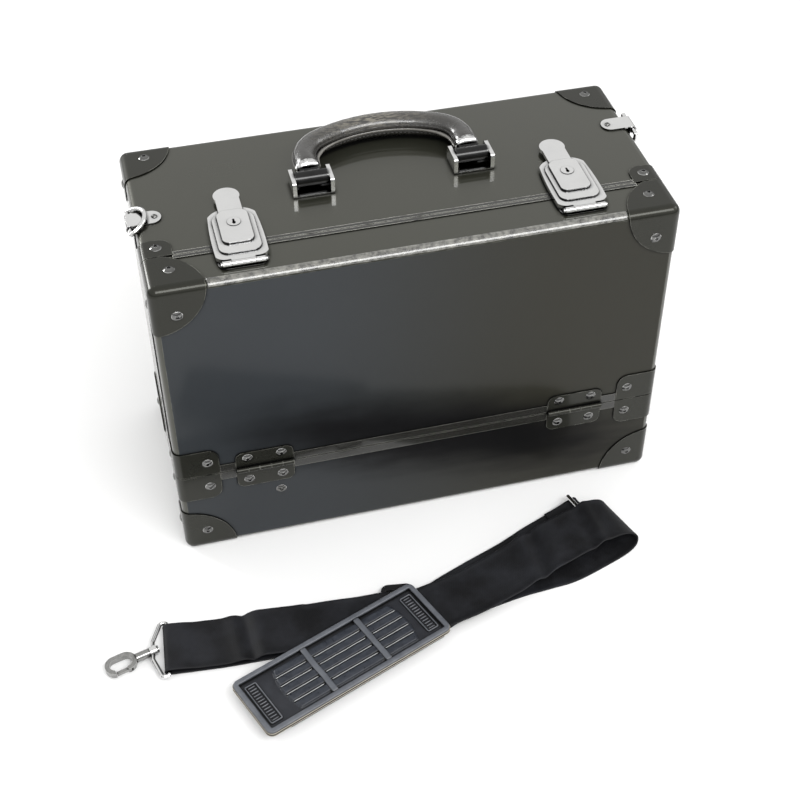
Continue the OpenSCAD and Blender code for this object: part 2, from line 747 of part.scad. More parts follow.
module handle_pins() color(chrome) for (s = sides)
    translate([s * bracket_x, pin_y, pin_z]) rotate([0, 90, 0])
        cylinder(r = handle_pin_r, h = bracket_w, center = true);

// The handle's own plane: its pins along X, its reach along Y
module handle_frame() translate([0, pin_y, pin_z]) rotate([rest_tilt, 0, 0]) children();

// The middle line of the grip, as [x, y, direction of travel], from left to right
grip_path = concat([[-bracket_x, leg_start, 90]],
    [for (i = [0:8]) let (a = 180 - bend_turn * i / 8)
        [bend_r - bracket_x + bend_r * cos(a), leg_l + bend_r * sin(a), a - 90]],
    [for (i = [1:11]) let (a = 90 + crown_turn * (1 - i / 6))
        [crown_r * cos(a), handle_reach - crown_r + crown_r * sin(a), a - 90]],
    [for (i = [8:-1:0]) let (a = bend_turn * i / 8)
        [bracket_x - bend_r + bend_r * cos(a), leg_l + bend_r * sin(a), a - 90]],
    [[bracket_x, leg_start, -90]]);

// A round bar swept along a flat path
module round_bar(path, r, n) {
    m = len(path);
    points = [for (p = path, k = [0:n - 1]) let (c = r * cos(360 * k / n))
        [p[0] - c * sin(p[2]), p[1] + c * cos(p[2]), r * sin(360 * k / n)]];
    faces = concat([[for (k = [0:n - 1]) k]],
        [for (i = [0:m - 2], k = [0:n - 1])
            let (a = i * n + k, b = i * n + (k + 1) % n) [a, a + n, b + n, b]],
        [[for (k = [n - 1:-1:0]) (m - 1) * n + k]]);
    polyhedron(points = points, faces = faces);
}

module handle_grip() color(leather) handle_frame() difference() {
    round_bar(grip_path, grip_r, 28);
    for (s = sides) translate([s * bracket_x, leg_start, 0])
        cube([15 + 2 * fit, 2 * (tongue_reach - leg_start) + 0.4, 8 + 2 * fit], center = true);
}

module handle_eyes() color(chrome) handle_frame() for (s = sides)
    translate([s * bracket_x, 0, 0]) difference() {
        union() {
            rotate([0, 90, 0]) cylinder(r = eye_r, h = eye_w, center = true);
            block([-7.5, 0, -4], [7.5, tongue_reach, 4]);
        }
        rotate([0, 90, 0]) cylinder(r = handle_pin_r + fit, h = far, center = true);
    }

module ring_tab(s, y) color(chrome) translate([0, y, 0]) difference() {
    union() {
        intersection() {
            translate([s * (case_w / 2 - tab_reach + far / 2), 0, shell_top])
                linear_extrude(height = tab_t) rounded(far, tab_w, tab_w / 2 - 0.1);
            block([min(0, s * ring_x), -tab_w, 0], [max(0, s * ring_x), tab_w, far]);
        }
        block([min(s * shell_x, s * (shell_x + tab_t)), -tab_w / 2, ring_z - 18],
            [max(s * shell_x, s * (shell_x + tab_t)), tab_w / 2, ring_z]);
        translate([s * ring_x, 0, ring_z]) rotate([90, 0, 0])
            cylinder(r = barrel_r, h = tab_w, center = true);
    }
    translate([s * ring_x, 0, ring_z]) rotate([90, 0, 0])
        cylinder(r = ring_wire_r + 0.1, h = far, center = true);
    translate([0, -y, 0]) holes(tab_rivets, shank_r - 0.6 + fit);
}

// A D-shaped ring with its bar on the Y axis and its bow towards +X
module ring_wire() {
    rotate([90, 0, 0]) cylinder(r = ring_wire_r, h = 2 * ring_r, center = true);
    rotate([0, 0, -90]) rotate_extrude(angle = 180) translate([ring_r, 0])
        circle(r = ring_wire_r);
    for (t = sides) translate([0, t * ring_r, 0]) sphere(r = ring_wire_r);
}

module ring_left() color(chrome) translate([-ring_x, ring_left_y, ring_z])
    rotate([0, -ring_rest, 0]) ring_wire();

module ring_right() color(chrome) translate([ring_x, ring_right_y, ring_z])
    rotate([0, 90, 0]) ring_wire();

module tray(n) color(tray_colour) {
    top = tray_top_z - n * tray_pitch;
    low = top - tray_h;
    difference() {
        union() {
            block([-tray_x, tray_front, low], [tray_x, tray_end, top]);
            for (s = sides) block([min(s * tray_x, s * (tray_x + flange_w)), tray_front, top - tray_t],
                [max(s * tray_x, s * (tray_x + flange_w)), tray_end, top]);
        }
        for (i = [-1:1]) {
            w = (2 * tray_x - 4 * tray_t) / 3;
            x = i * (w + tray_t);
            block([x - w / 2, tray_front + tray_t, low + tray_t],
                [x + w / 2, tray_end - tray_t, far]);
        }
        translate([0, tray_front, top]) rotate([90, 0, 0])
            cylinder(r = 18, h = 3 * tray_t, center = true);
    }
}

module tray_runners() color(lining_colour) for (n = [0:2], s = sides) {
    top = tray_top_z - n * tray_pitch - tray_t - seat;
    x0 = tray_x + 0.8;
    x1 = inner_x - lining_t;
    block([min(s * x0, s * x1), tongue_back + 1, top - 6],
        [max(s * x0, s * x1), inner_y - lining_t, top]);
}

// A flat band swept along a route of [x, y, z, turn]; the turn sets its cross direction
module webbing(p) {
    n = len(p);
    function at(i) = [p[i][0], p[i][1], p[i][2]];
    function along(i) = let (d = at(min(i + 1, n - 1)) - at(max(i - 1, 0))) d / norm(d);
    function across(i) = [-sin(p[i][3]), cos(p[i][3]), 0];
    function up(i) = let (c = cross(along(i), across(i))) c / norm(c);
    points = [for (i = [0:n - 1]) let (a = across(i) * web_w / 2, u = up(i) * web_t / 2)
        each [at(i) - a - u, at(i) + a - u, at(i) + a + u, at(i) - a + u]];
    faces = concat([[0, 1, 2], [0, 2, 3]],
        [for (i = [0:n - 2], k = [0:3]) let (a = 4 * i + k, b = 4 * i + (k + 1) % 4)
            each [[a, a + 4, b + 4], [a, b + 4, b]]],
        [[4 * n - 4, 4 * n - 2, 4 * n - 3], [4 * n - 4, 4 * n - 1, 4 * n - 2]]);
    polyhedron(points = points, faces = faces);
}

module strap_hook_end() color(web_colour) webbing(hook_route);

module strap_frame() translate(strap_at) rotate([0, 0, strap_turn]) children();

module strap_long() color(web_colour) strap_frame() webbing(long_route);

module pad_frame() translate(pad_at) rotate([0, 0, pad_turn]) children();

pad_low = in_pad_z + web_t / 2 + 0.3;
pad_plate_t = 2.2;
pad_rim = 5;
pad_rim_h = 3;
pad_bars = [-22, 27];
rib_step = 8.4;
rib_w = 6.4;
rib_reach = 57;
module shoulder_pad() color(rubber) pad_frame() {
    translate([0, 0, pad_low]) linear_extrude(height = pad_plate_t) rounded(pad_l, pad_w, 4);
    translate([0, 0, pad_low + pad_plate_t]) {
        linear_extrude(height = pad_rim_h) difference() {
            rounded(pad_l, pad_w, 4);
            rounded(pad_l - 2 * pad_rim, pad_w - 2 * pad_rim, 2);
        }
        for (x = pad_bars) translate([x, 0, pad_rim_h / 2])
            cube([5, pad_w - pad_rim, pad_rim_h], center = true);
        intersection() {
            for (i = [-2:2]) translate([2.5, i * rib_step, 0.8])
                cube([2 * rib_reach, rib_w, 1.6], center = true);
            translate([2.5, 0, -1]) cylinder(r = rib_reach, h = 5, $fn = sphere_fn);
        }
        for (s = sides) translate([s * 72.5, 0, 0]) linear_extrude(height = 1.2)
            rounded(9, pad_w - 2 * pad_rim - 4, 2);
    }
}

module pad_back_plate() color(rubber) pad_frame() {
    low = under_z + web_t / 2 + seat;
    top = in_pad_z - web_t / 2 - seat;
    block([-66, -pad_w / 2 + 1, low], [pad_l / 2 - 4, pad_w / 2 - 1, top]);
    for (s = sides) block([-66, s < 0 ? 1 - pad_w / 2 : web_w / 2 + 1, low],
        [pad_l / 2 - 4, s < 0 ? -web_w / 2 - 1 : pad_w / 2 - 1, pad_low]);
}

slider_at = [-47, -201.5, 0];
slider_w = 26;
slider_l = 59;
module slider_buckle() color(black) translate(slider_at) rotate([0, 0, -8])
    translate([0, 0, low_z + web_t / 2 + seat]) linear_extrude(height = 2.6) difference() {
        rounded(slider_w, slider_l, 6);
        for (s = sides) translate([s * 5.7, 0]) rounded(7.4, web_w + 3, 1);
    }

// The middle line of an end loop, anticlockwise as [x, y, direction of travel], with
// its long bar on the Y axis and its narrow side towards +X
loop_slope = atan2(loop_half - loop_narrow, loop_depth - loop_shoulder);
loop_bend = 2;
function loop_corner(x, y, from, turn) =
    let (e = loop_bend / cos(turn / 2), m = from + turn / 2)
        [for (i = [0:4]) let (a = from + turn * i / 4)
            [x - e * sin(m) + loop_bend * sin(a), y + e * cos(m) - loop_bend * cos(a), a]];
loop_path = concat(
    loop_corner(0, -loop_half, -90, 90), loop_corner(loop_shoulder, -loop_half, 0, loop_slope),
    loop_corner(loop_depth, -loop_narrow, loop_slope, 90 - loop_slope),
    loop_corner(loop_depth, loop_narrow, 90, 90 - loop_slope),
    loop_corner(loop_shoulder, loop_half, 180 - loop_slope, loop_slope),
    loop_corner(0, loop_half, 180, 90));

module wire_ring(path, r, n) {
    m = len(path);
    points = [for (p = path, k = [0:n - 1]) let (c = r * cos(360 * k / n))
        [p[0] - c * sin(p[2]), p[1] + c * cos(p[2]), r * sin(360 * k / n)]];
    faces = [for (i = [0:m - 1], k = [0:n - 1])
        let (a = i * n, b = (i + 1) % m * n, l = (k + 1) % n) [a + k, b + k, b + l, a + l]];
    polyhedron(points = points, faces = faces);
}

// An end loop; turns gives the way that the hook's stem points from its bead
module strap_loop(turns) difference() {
    union() {
        wire_ring(loop_path, loop_wire_r, 16);
        at_bead(turns) rotate([0, 90, 0]) cylinder(r = bead_r, h = bead_l, center = true);
    }
    at_bead(turns) rotate([0, 90, 0])
        cylinder(r = stem_r + fit, h = bead_l + 4, center = true);
}

module at_bead(turns) translate([loop_depth, 0, 0]) rotate([0, turns[0], 0])
    rotate([0, 0, turns[1]]) rotate([0, turns[2], 0]) children();

// The swivel hook from its stem outwards along +X; the gate closes its open side
module strap_hook() {
    rotate([0, 90, 0]) translate([0, 0, -bead_l / 2 - 1.8]) cylinder(r = 2.9, h = 1.4);
    rotate([0, 90, 0]) translate([0, 0, -bead_l / 2 - 1])
        cylinder(r = stem_r, h = hook_a - hook_out + bead_l / 2 + 2);
    translate([bead_l / 2 + 0.3, 0, 0]) rotate([0, 90, 0])
        cylinder(r = 3.6, h = hook_a - hook_out - bead_l / 2);
    difference() {
        linear_extrude(height = hook_t, center = true) difference() {
            hook_ring(hook_out);
            hook_ring(hook_in);
            translate([hook_a - 1, gate_off - 2.4]) square([hook_b - hook_a + 3.4, 9]);
        }
        translate([hook_a - 3, gate_off - 2.6, -1.4]) cube([5, 9, 2.8]);
    }
    for (t = sides) translate([hook_a - 0.6, gate_off, t * 1.85])
        cylinder(r = 1.7, h = 0.8, center = true);
    translate([hook_a - 0.6, gate_off, 0]) cylinder(r = gate_pin_r, h = hook_t, center = true);
}

module hook_ring(r) {
    for (x = [hook_a, hook_b]) translate([x, 0]) circle(r = r);
    translate([hook_a, -r]) square([hook_b - hook_a, 2 * r]);
}

module hook_gate() difference() {
    union() {
        translate([hook_a - 0.6, gate_off, 0]) cylinder(r = 1.7, h = 2.4, center = true);
        translate([hook_a + (hook_b - hook_a) / 2 + 0.6, gate_off, 0])
            cube([hook_b - hook_a + 2.4, 2.6, 2.4], center = true);
    }
    translate([hook_a - 0.6, gate_off, 0])
        cylinder(r = gate_pin_r + fit, h = hook_t, center = true);
}

left_loop_turn = 175;
left_turns = [0, hook_yaw_left, 0];
module left_loop_frame() translate([eye_x, eye_y, eye_z]) rotate([0, 0, left_loop_turn])
    children();

// The other loop lies folded back over the webbing inside the strap's last fold
right_loop_tilt = 55;
right_loop_shift = -0.6;
right_turns = [right_loop_tilt, hook_yaw_right, hook_dip_right];
module right_loop_frame() strap_frame() translate([tail_eye_s, 11 + right_loop_shift, tail_eye_z])
    rotate([0, 0, 180]) rotate([0, -right_loop_tilt, 0]) children();

module strap_loop_left() color(chrome) left_loop_frame() strap_loop(left_turns);
module strap_hook_left() color(chrome) left_loop_frame() at_bead(left_turns) strap_hook();
module hook_gate_left() color(chrome) left_loop_frame() at_bead(left_turns) hook_gate();
module strap_loop_right() color(chrome) right_loop_frame() strap_loop(right_turns);
module strap_hook_right() color(chrome) right_loop_frame() at_bead(right_turns) strap_hook();
module hook_gate_right() color(chrome) right_loop_frame() at_bead(right_turns) hook_gate();

body_top_panel();
body_bottom_panel();
body_back_panel();
body_front_panel();
body_side(-1);  // body_left_side
body_side(1);  // body_right_side
body_lining();
body_valance();
body_seam_bands();
body_seam_plates();
rear_corner_guards();
bottom_corner_guards();
body_rivets();
door_front_panel();
door_top_panel();
door_side(-1);  // door_left_side
door_side(1);  // door_right_side
door_lining();
door_seam_bands();
door_seam_plates();
door_corner_guards();
door_rivets();
hinge_leaf(-1, -1, body_leaf_h, body_leaf_rivets);  // hinge_body_leaf_left
hinge_leaf(1, -1, body_leaf_h, body_leaf_rivets);  // hinge_body_leaf_right
hinge_leaf(-1, 1, door_leaf_h, door_leaf_rivets);  // hinge_door_leaf_left
hinge_leaf(1, 1, door_leaf_h, door_leaf_rivets);  // hinge_door_leaf_right
hinge_pins();
latch_base(-1);  // latch_base_left
latch_base(1);  // latch_base_right
hasp(-1);  // hasp_left
hasp(1);  // hasp_right
lock_plug(-1);  // lock_plug_left
lock_plug(1);  // lock_plug_right
staple(-1);  // staple_left
staple(1);  // staple_right
handle_grip();
handle_eyes();
handle_bracket(-1);  // handle_bracket_left
handle_bracket(1);  // handle_bracket_right
handle_pins();
ring_tab(-1, ring_left_y);  // ring_tab_left
ring_tab(1, ring_right_y);  // ring_tab_right
ring_left();
ring_right();
tray(0);  // tray_top
tray(1);  // tray_middle
tray(2);  // tray_bottom
tray_runners();
strap_hook_end();
strap_long();
shoulder_pad();
pad_back_plate();
slider_buckle();
strap_loop_left();
strap_loop_right();
strap_hook_left();
strap_hook_right();
hook_gate_left();
hook_gate_right();
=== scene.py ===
import math
import bpy
import bmesh
from mathutils import Matrix, Vector, noise
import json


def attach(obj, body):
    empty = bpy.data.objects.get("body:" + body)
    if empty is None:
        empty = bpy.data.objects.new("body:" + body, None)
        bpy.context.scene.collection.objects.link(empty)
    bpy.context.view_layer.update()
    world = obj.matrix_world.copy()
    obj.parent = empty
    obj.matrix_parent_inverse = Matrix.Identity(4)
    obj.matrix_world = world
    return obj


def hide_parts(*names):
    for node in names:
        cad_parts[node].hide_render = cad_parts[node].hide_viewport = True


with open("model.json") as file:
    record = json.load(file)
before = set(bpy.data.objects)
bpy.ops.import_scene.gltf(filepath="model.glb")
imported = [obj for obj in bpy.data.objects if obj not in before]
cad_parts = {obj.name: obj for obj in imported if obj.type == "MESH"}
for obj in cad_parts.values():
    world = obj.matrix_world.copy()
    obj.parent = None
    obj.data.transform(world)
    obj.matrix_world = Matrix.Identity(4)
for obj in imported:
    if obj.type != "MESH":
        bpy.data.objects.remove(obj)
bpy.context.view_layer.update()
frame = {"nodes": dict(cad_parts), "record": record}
nodes = frame["nodes"]
mm = 0.001
print("frame loaded:", len(nodes), "nodes")


view = {"place": (-0.2195, -0.9042, 0.9228), "right": (0.96941, -0.24539, -0.00599),
        "down": (-0.17312, -0.66621, -0.72539), "forward": (0.17401, 0.70423, -0.68831),
        "lens": 66.163, "sensor": 36}
cameraData = bpy.data.cameras.new("camera")
cameraData.lens = view["lens"]
cameraData.sensor_width = view["sensor"]
camera = bpy.data.objects.new("camera", cameraData)
bpy.context.scene.collection.objects.link(camera)
axes = Matrix((view["right"], [-v for v in view["down"]], [-v for v in view["forward"]])).transposed()
camera.matrix_world = Matrix.Translation(view["place"]) @ axes.to_4x4()
bpy.context.scene.camera = camera

# the sky darkens to a band near the horizon, which the lacquer and the chrome reflect
room = {"band": (0.05, 0.05, 0.055), "sky": (1.0, 0.998, 0.99), "skyPower": 0.93, "bandLow": -0.04,
        "bandHigh": 0.3, "floorReach": 6}
lights = {"frontBox": {"place": (0.3, -1.38, 1.72), "target": (0.05, -0.08, 0.25), "size": (1.9, 0.75),
                       "power": 36},
          "leftBack": {"place": (-1.25, 1.15, 0.78), "target": (-0.15, 0.0, 0.24), "size": (0.35, 0.7),
                       "power": 12},
          "fillRight": {"place": (1.6, -0.3, 1.3), "target": (0, 0, 0.15), "size": (0.8, 0.8), "power": 7}}


def lookAt(place, target):
    return (Vector(target) - Vector(place)).to_track_quat("-Z", "Y").to_euler()


def areaLight(name, place, target, size, power):
    data = bpy.data.lights.new(name, "AREA")
    data.shape = "RECTANGLE"
    data.size, data.size_y = size
    data.energy = power
    lamp = bpy.data.objects.new(name, data)
    bpy.context.scene.collection.objects.link(lamp)
    lamp.location = place
    lamp.rotation_euler = lookAt(place, target)


world = bpy.data.worlds.new("studio")
bpy.context.scene.world = world
world.use_nodes = True
air = world.node_tree
place = air.nodes.new("ShaderNodeTexCoord")
height = air.nodes.new("ShaderNodeSeparateXYZ")
gradient = air.nodes.new("ShaderNodeMapRange")
tint = air.nodes.new("ShaderNodeMix")
tint.data_type = "RGBA"
seen = air.nodes.new("ShaderNodeLightPath")  # the dark band shows in reflections alone
pale = air.nodes.new("ShaderNodeMath")
pale.operation = "MAXIMUM"
gradient.interpolation_type = "SMOOTHSTEP"
gradient.inputs[1].default_value, gradient.inputs[2].default_value = room["bandLow"], room["bandHigh"]
tint.inputs[6].default_value = (*room["band"], 1)
tint.inputs[7].default_value = (*room["sky"], 1)
sky = air.nodes["Background"]
sky.inputs["Strength"].default_value = room["skyPower"]
air.links.new(place.outputs["Generated"], height.inputs[0])
air.links.new(height.outputs["Z"], gradient.inputs[0])
air.links.new(gradient.outputs[0], pale.inputs[0])
air.links.new(seen.outputs["Is Camera Ray"], pale.inputs[1])
air.links.new(pale.outputs[0], tint.inputs[0])
air.links.new(tint.outputs[2], sky.inputs["Color"])
for name, values in lights.items():
    areaLight(name, **values)
bpy.context.scene.view_settings.view_transform = "Standard"

floorMesh = bpy.data.meshes.new("floor")
far = room["floorReach"]
floorMesh.from_pydata([(-far, -far, 0), (far, -far, 0), (far, far, 0), (-far, far, 0)], [], [(0, 1, 2, 3)])
floor = bpy.data.objects.new("floor", floorMesh)
bpy.context.scene.collection.objects.link(floor)
print("camera and light ready")


def newGroup(name, inputs, outputs):
    group = bpy.data.node_groups.new(name, "ShaderNodeTree")
    for label, value in inputs:
        socket = group.interface.new_socket(label, in_out="INPUT", socket_type="NodeSocketFloat")
        socket.default_value = value
    for label in outputs:
        group.interface.new_socket(label, in_out="OUTPUT", socket_type="NodeSocketFloat")
    return group, group.nodes.new("NodeGroupInput"), group.nodes.new("NodeGroupOutput")


def put(tree, kind, links=(), **settings):
    node = tree.nodes.new(kind)
    for key, value in settings.items():
        setattr(node, key, value)
    for socket, value in links:
        if isinstance(value, bpy.types.NodeSocket):
            tree.links.new(value, node.inputs[socket])
        else:
            node.inputs[socket].default_value = value
    return node


def calc(tree, operation, a, b=0.0, c=0.0, clamp=False):
    return put(tree, "ShaderNodeMath", ((0, a), (1, b), (2, c)), operation=operation,
               use_clamp=clamp).outputs[0]


def mapRange(tree, value, low, high, toLow=0.0, toHigh=1.0, smooth=False):
    return put(tree, "ShaderNodeMapRange", ((0, value), (1, low), (2, high), (3, toLow), (4, toHigh)),
               interpolation_type="SMOOTHSTEP" if smooth else "LINEAR").outputs[0]


def noiseValue(tree, place, scale, detail, roughness=0.5):
    return put(tree, "ShaderNodeTexNoise", (("Vector", place), ("Scale", scale), ("Detail", detail),
                                            ("Roughness", roughness))).outputs["Fac"]


def makeGrainGroup():  # cloudy tone, fine pores and gloss changes in object space
    g, gin, gout = newGroup("surfaceGrain", (("Scale", 60.0), ("Fine Scale", 900.0), ("Fine", 0.3),
                                             ("Gloss Low", 0.2), ("Gloss High", 0.4)),
                            ("Cloud", "Height", "Roughness"))
    place = put(g, "ShaderNodeTexCoord").outputs["Object"]
    cloud = noiseValue(g, place, gin.outputs["Scale"], 5.0, 0.6)
    pores = noiseValue(g, place, gin.outputs["Fine Scale"], 3.0, 0.7)
    pores = calc(g, "MULTIPLY", pores, gin.outputs["Fine"])
    gloss = mapRange(g, cloud, 0.3, 0.7, gin.outputs["Gloss Low"], gin.outputs["Gloss High"])
    g.links.new(cloud, gout.inputs["Cloud"])
    g.links.new(calc(g, "MULTIPLY_ADD", cloud, 0.5, pores), gout.inputs["Height"])
    g.links.new(gloss, gout.inputs["Roughness"])
    return g


def makeWearGroup():  # rubbed edges and sparse short scratches
    g, gin, gout = newGroup("edgeWear", (("Edge Width", 0.0008), ("Amount", 0.5), ("Scratches", 0.3),
                                         ("Broken", 0.4)), ("Wear", "Scratch"))
    place = put(g, "ShaderNodeTexCoord").outputs["Object"]
    facing = put(g, "ShaderNodeNewGeometry").outputs["Normal"]
    rounded = put(g, "ShaderNodeBevel", (("Radius", gin.outputs["Edge Width"]),), samples=4).outputs[0]
    flatness = put(g, "ShaderNodeVectorMath", ((0, rounded), (1, facing)),
                   operation="DOT_PRODUCT").outputs["Value"]
    edge = calc(g, "MULTIPLY", calc(g, "SUBTRACT", 1.0, flatness), 5.0)
    patches = noiseValue(g, place, 130.0, 4.0)
    patchEnd = calc(g, "ADD", gin.outputs["Broken"], 0.25)
    rubbed = calc(g, "MULTIPLY", edge, mapRange(g, patches, gin.outputs["Broken"], patchEnd))
    g.links.new(calc(g, "MULTIPLY", rubbed, gin.outputs["Amount"], clamp=True), gout.inputs["Wear"])
    drawn = put(g, "ShaderNodeMapping", (("Vector", place), ("Rotation", (0.3, 0.5, 0.9)),
                                         ("Scale", (35.0, 420.0, 300.0)))).outputs[0]
    lines = mapRange(g, noiseValue(g, drawn, 1.0, 2.0), 0.68, 0.76)
    g.links.new(calc(g, "MULTIPLY", lines, gin.outputs["Scratches"], clamp=True), gout.inputs["Scratch"])
    return g


def makeCreviceShadeGroup():  # painted shade: dark lines where parts meet, from how closed in a point is
    g, gin, gout = newGroup("paintedCreviceShade", (("Distance", 0.0034), ("Open", 0.88), ("Closed", 0.66)), ("Crevice Shade",))
    shade = put(g, "ShaderNodeAmbientOcclusion", (("Distance", gin.outputs["Distance"]),),
                samples=6).outputs["AO"]
    g.links.new(mapRange(g, shade, gin.outputs["Open"], gin.outputs["Closed"]), gout.inputs["Crevice Shade"])
    return g


def makeFrontShadeGroup():  # painted shade over the front: a darker belt low down, and darker and warmer to the right
    g, gin, gout = newGroup("panelFrontShade", (("Height", 0.083), ("Reach", 0.17)), ("Painted Shade", "Painted Shade Right"))
    place = put(g, "ShaderNodeTexCoord").outputs["Object"]
    x, _, z = put(g, "ShaderNodeSeparateXYZ", ((0, place),)).outputs
    wobble = put(g, "ShaderNodeTexNoise", (("Scale", 9.0), ("Detail", 3.0))).outputs["Fac"]
    across = calc(g, "DIVIDE", calc(g, "ABSOLUTE", calc(g, "SUBTRACT", x, 0.02)), gin.outputs["Reach"])
    slanted = calc(g, "SUBTRACT", calc(g, "MULTIPLY_ADD", x, 0.25, z), gin.outputs["Height"])
    rise = calc(g, "DIVIDE", slanted, 0.045)
    spread = calc(g, "SQRT", calc(g, "ADD", calc(g, "POWER", across, 3.0), calc(g, "MULTIPLY", rise, rise)))
    spread = calc(g, "MULTIPLY_ADD", calc(g, "SUBTRACT", wobble, 0.5), 0.5, spread)
    g.links.new(mapRange(g, spread, 1.35, 0.25, smooth=True), gout.inputs["Painted Shade"])
    g.links.new(mapRange(g, x, -0.12, 0.12, smooth=True), gout.inputs["Painted Shade Right"])
    return g


def makeWeaveGroup():  # fine rib weave along a strap, from its own flat coordinates in metres
    g, gin, gout = newGroup("weave", (("Rib", 0.0011), ("Pick", 0.0014)), ("Height", "Thread"))
    flat = put(g, "ShaderNodeUVMap", uv_map="flat").outputs[0]
    x, y, _ = put(g, "ShaderNodeSeparateXYZ", ((0, flat),)).outputs
    across = calc(g, "DIVIDE", x, gin.outputs["Rib"])
    along = calc(g, "DIVIDE", y, gin.outputs["Pick"])
    odd = calc(g, "MULTIPLY", calc(g, "FLOORED_MODULO", calc(g, "FLOOR", across), 2.0), 0.5)
    rib = calc(g, "ABSOLUTE", calc(g, "SINE", calc(g, "MULTIPLY", across, math.pi)))
    pick = calc(g, "ABSOLUTE", calc(g, "SINE", calc(g, "MULTIPLY", calc(g, "ADD", along, odd), math.pi)))
    height = calc(g, "MULTIPLY", calc(g, "POWER", rib, 0.6), calc(g, "MULTIPLY_ADD", pick, 0.6, 0.4))
    g.links.new(height, gout.inputs["Height"])
    g.links.new(mapRange(g, height, 0.1, 0.9), gout.inputs["Thread"])
    return g


def makeLeatherGroup():  # pebbled leather grain with creases
    g, gin, gout = newGroup("leatherGrain", (("Scale", 700.0), ("Crease Scale", 140.0), ("Crease", 0.5)),
                            ("Height", "Pore"))
    place = put(g, "ShaderNodeTexCoord").outputs["Object"]
    warp = put(g, "ShaderNodeTexNoise", (("Vector", place), ("Scale", 90.0), ("Detail", 3.0)))
    warped = put(g, "ShaderNodeVectorMath", ((0, warp.outputs["Color"]), (1, (0.004, 0.004, 0.004)),
                                             (2, place)), operation="MULTIPLY_ADD").outputs[0]
    cells = put(g, "ShaderNodeTexVoronoi", (("Vector", warped), ("Scale", gin.outputs["Scale"])),
                feature="DISTANCE_TO_EDGE").outputs["Distance"]
    pebble = mapRange(g, cells, 0.0, 0.16)
    crease = noiseValue(g, warped, gin.outputs["Crease Scale"], 6.0, 0.65)
    g.links.new(calc(g, "MULTIPLY_ADD", crease, gin.outputs["Crease"], calc(g, "MULTIPLY", pebble, 0.35)),
                gout.inputs["Height"])
    g.links.new(pebble, gout.inputs["Pore"])
    return g


grainGroup, wearGroup = makeGrainGroup(), makeWearGroup()
weaveGroup, leatherGroup = makeWeaveGroup(), makeLeatherGroup()
creviceShadeGroup, frontShadeGroup = makeCreviceShadeGroup(), makeFrontShadeGroup()


def newMaterial(name):
    made = bpy.data.materials.new(name)
    made.use_nodes = True
    tree = made.node_tree
    return made, tree, tree.nodes["Principled BSDF"]


def useGroup(tree, group, **values):
    node = put(tree, "ShaderNodeGroup", node_tree=group)
    for key, value in values.items():
        node.inputs[key.replace("_", " ")].default_value = value
    return node


def setShader(shader, **values):
    for key, value in values.items():
        shader.inputs[key.replace("_", " ")].default_value = value


def blendColour(tree, factor, a, b):
    node = put(tree, "ShaderNodeMix", data_type="RGBA")
    tree.links.new(factor, node.inputs[0])
    for index, value in ((6, a), (7, b)):
        if isinstance(value, bpy.types.NodeSocket):
            tree.links.new(value, node.inputs[index])
        else:
            node.inputs[index].default_value = (*value, 1)
    return node.outputs[2]


def addBump(tree, shader, strength, distance, height):
    bump = put(tree, "ShaderNodeBump", (("Strength", strength), ("Distance", distance), ("Height", height)))
    tree.links.new(bump.outputs[0], shader.inputs["Normal"])


# colour from grain, wear, painted shade in crevices and over the front, and painted highlight on worn band
# edges; the low share is the part of that wear and highlight left below lowPlace
def coatedMaterial(name, dark, light, worn, gloss, bump, edge=0.5, edgeWidth=0.0008, scratches=0.3,
                   metallic=0.0, scale=60.0, fineScale=900.0, fine=0.3, grime=(0.003, 0.003, 0.003),
                   open=0.88, coat=0.0, warm=None, deep=0.0, shadeColour=(0.004, 0.004, 0.0045), broken=0.4,
                   lowWear=1.0, lowPlace=(0.2, 0.26), contrast=0.5, scratchGloss=0.12, **shaderValues):
    made, tree, shader = newMaterial(name)
    grain = useGroup(tree, grainGroup, Scale=scale, Fine_Scale=fineScale, Fine=fine,
                     Gloss_Low=gloss[0], Gloss_High=gloss[1])
    wear = useGroup(tree, wearGroup, Amount=edge, Edge_Width=edgeWidth, Scratches=scratches, Broken=broken)
    # painted shade: the crevice mask darkens the colour and takes the coat away where parts meet
    creviceShade = useGroup(tree, creviceShadeGroup, Open=open).outputs["Crevice Shade"]
    cloud = mapRange(tree, grain.outputs["Cloud"], 0.5 - contrast, 0.5 + contrast)
    base = blendColour(tree, cloud, dark, light)
    unshaded = calc(tree, "SUBTRACT", 1.0, creviceShade)
    shine = calc(tree, "MULTIPLY", unshaded, coat)
    # painted shade on the front: darker low down and to the right, with less coat there
    if warm:
        gradient = useGroup(tree, frontShadeGroup)
        base = blendColour(tree, gradient.outputs["Painted Shade Right"], base, warm)
        shadeDepth = calc(tree, "MULTIPLY", gradient.outputs["Painted Shade"], deep)
        base = blendColour(tree, shadeDepth, base, shadeColour)
        shine = calc(tree, "MULTIPLY", shine, calc(tree, "SUBTRACT", 1.0, shadeDepth))
    rubbed = wear.outputs["Wear"]
    if lowWear < 1:  # worn edges, partly a painted highlight, fade out low down
        place = put(tree, "ShaderNodeTexCoord").outputs["Object"]
        height = put(tree, "ShaderNodeSeparateXYZ", ((0, place),)).outputs[2]
        rubbed = calc(tree, "MULTIPLY", rubbed, mapRange(tree, height, *lowPlace, lowWear))
    base = blendColour(tree, rubbed, base, worn)
    # painted shade in crevices darkens the colour here
    tree.links.new(blendColour(tree, creviceShade, base, grime), shader.inputs["Base Color"])
    rough = calc(tree, "MULTIPLY_ADD", wear.outputs["Scratch"], scratchGloss, grain.outputs["Roughness"])
    tree.links.new(rough, shader.inputs["Roughness"])
    shader.inputs["Metallic"].default_value = metallic
    if coat:
        tree.links.new(shine, shader.inputs["Coat Weight"])
    addBump(tree, shader, *bump, grain.outputs["Height"])
    setShader(shader, **shaderValues)
    return made


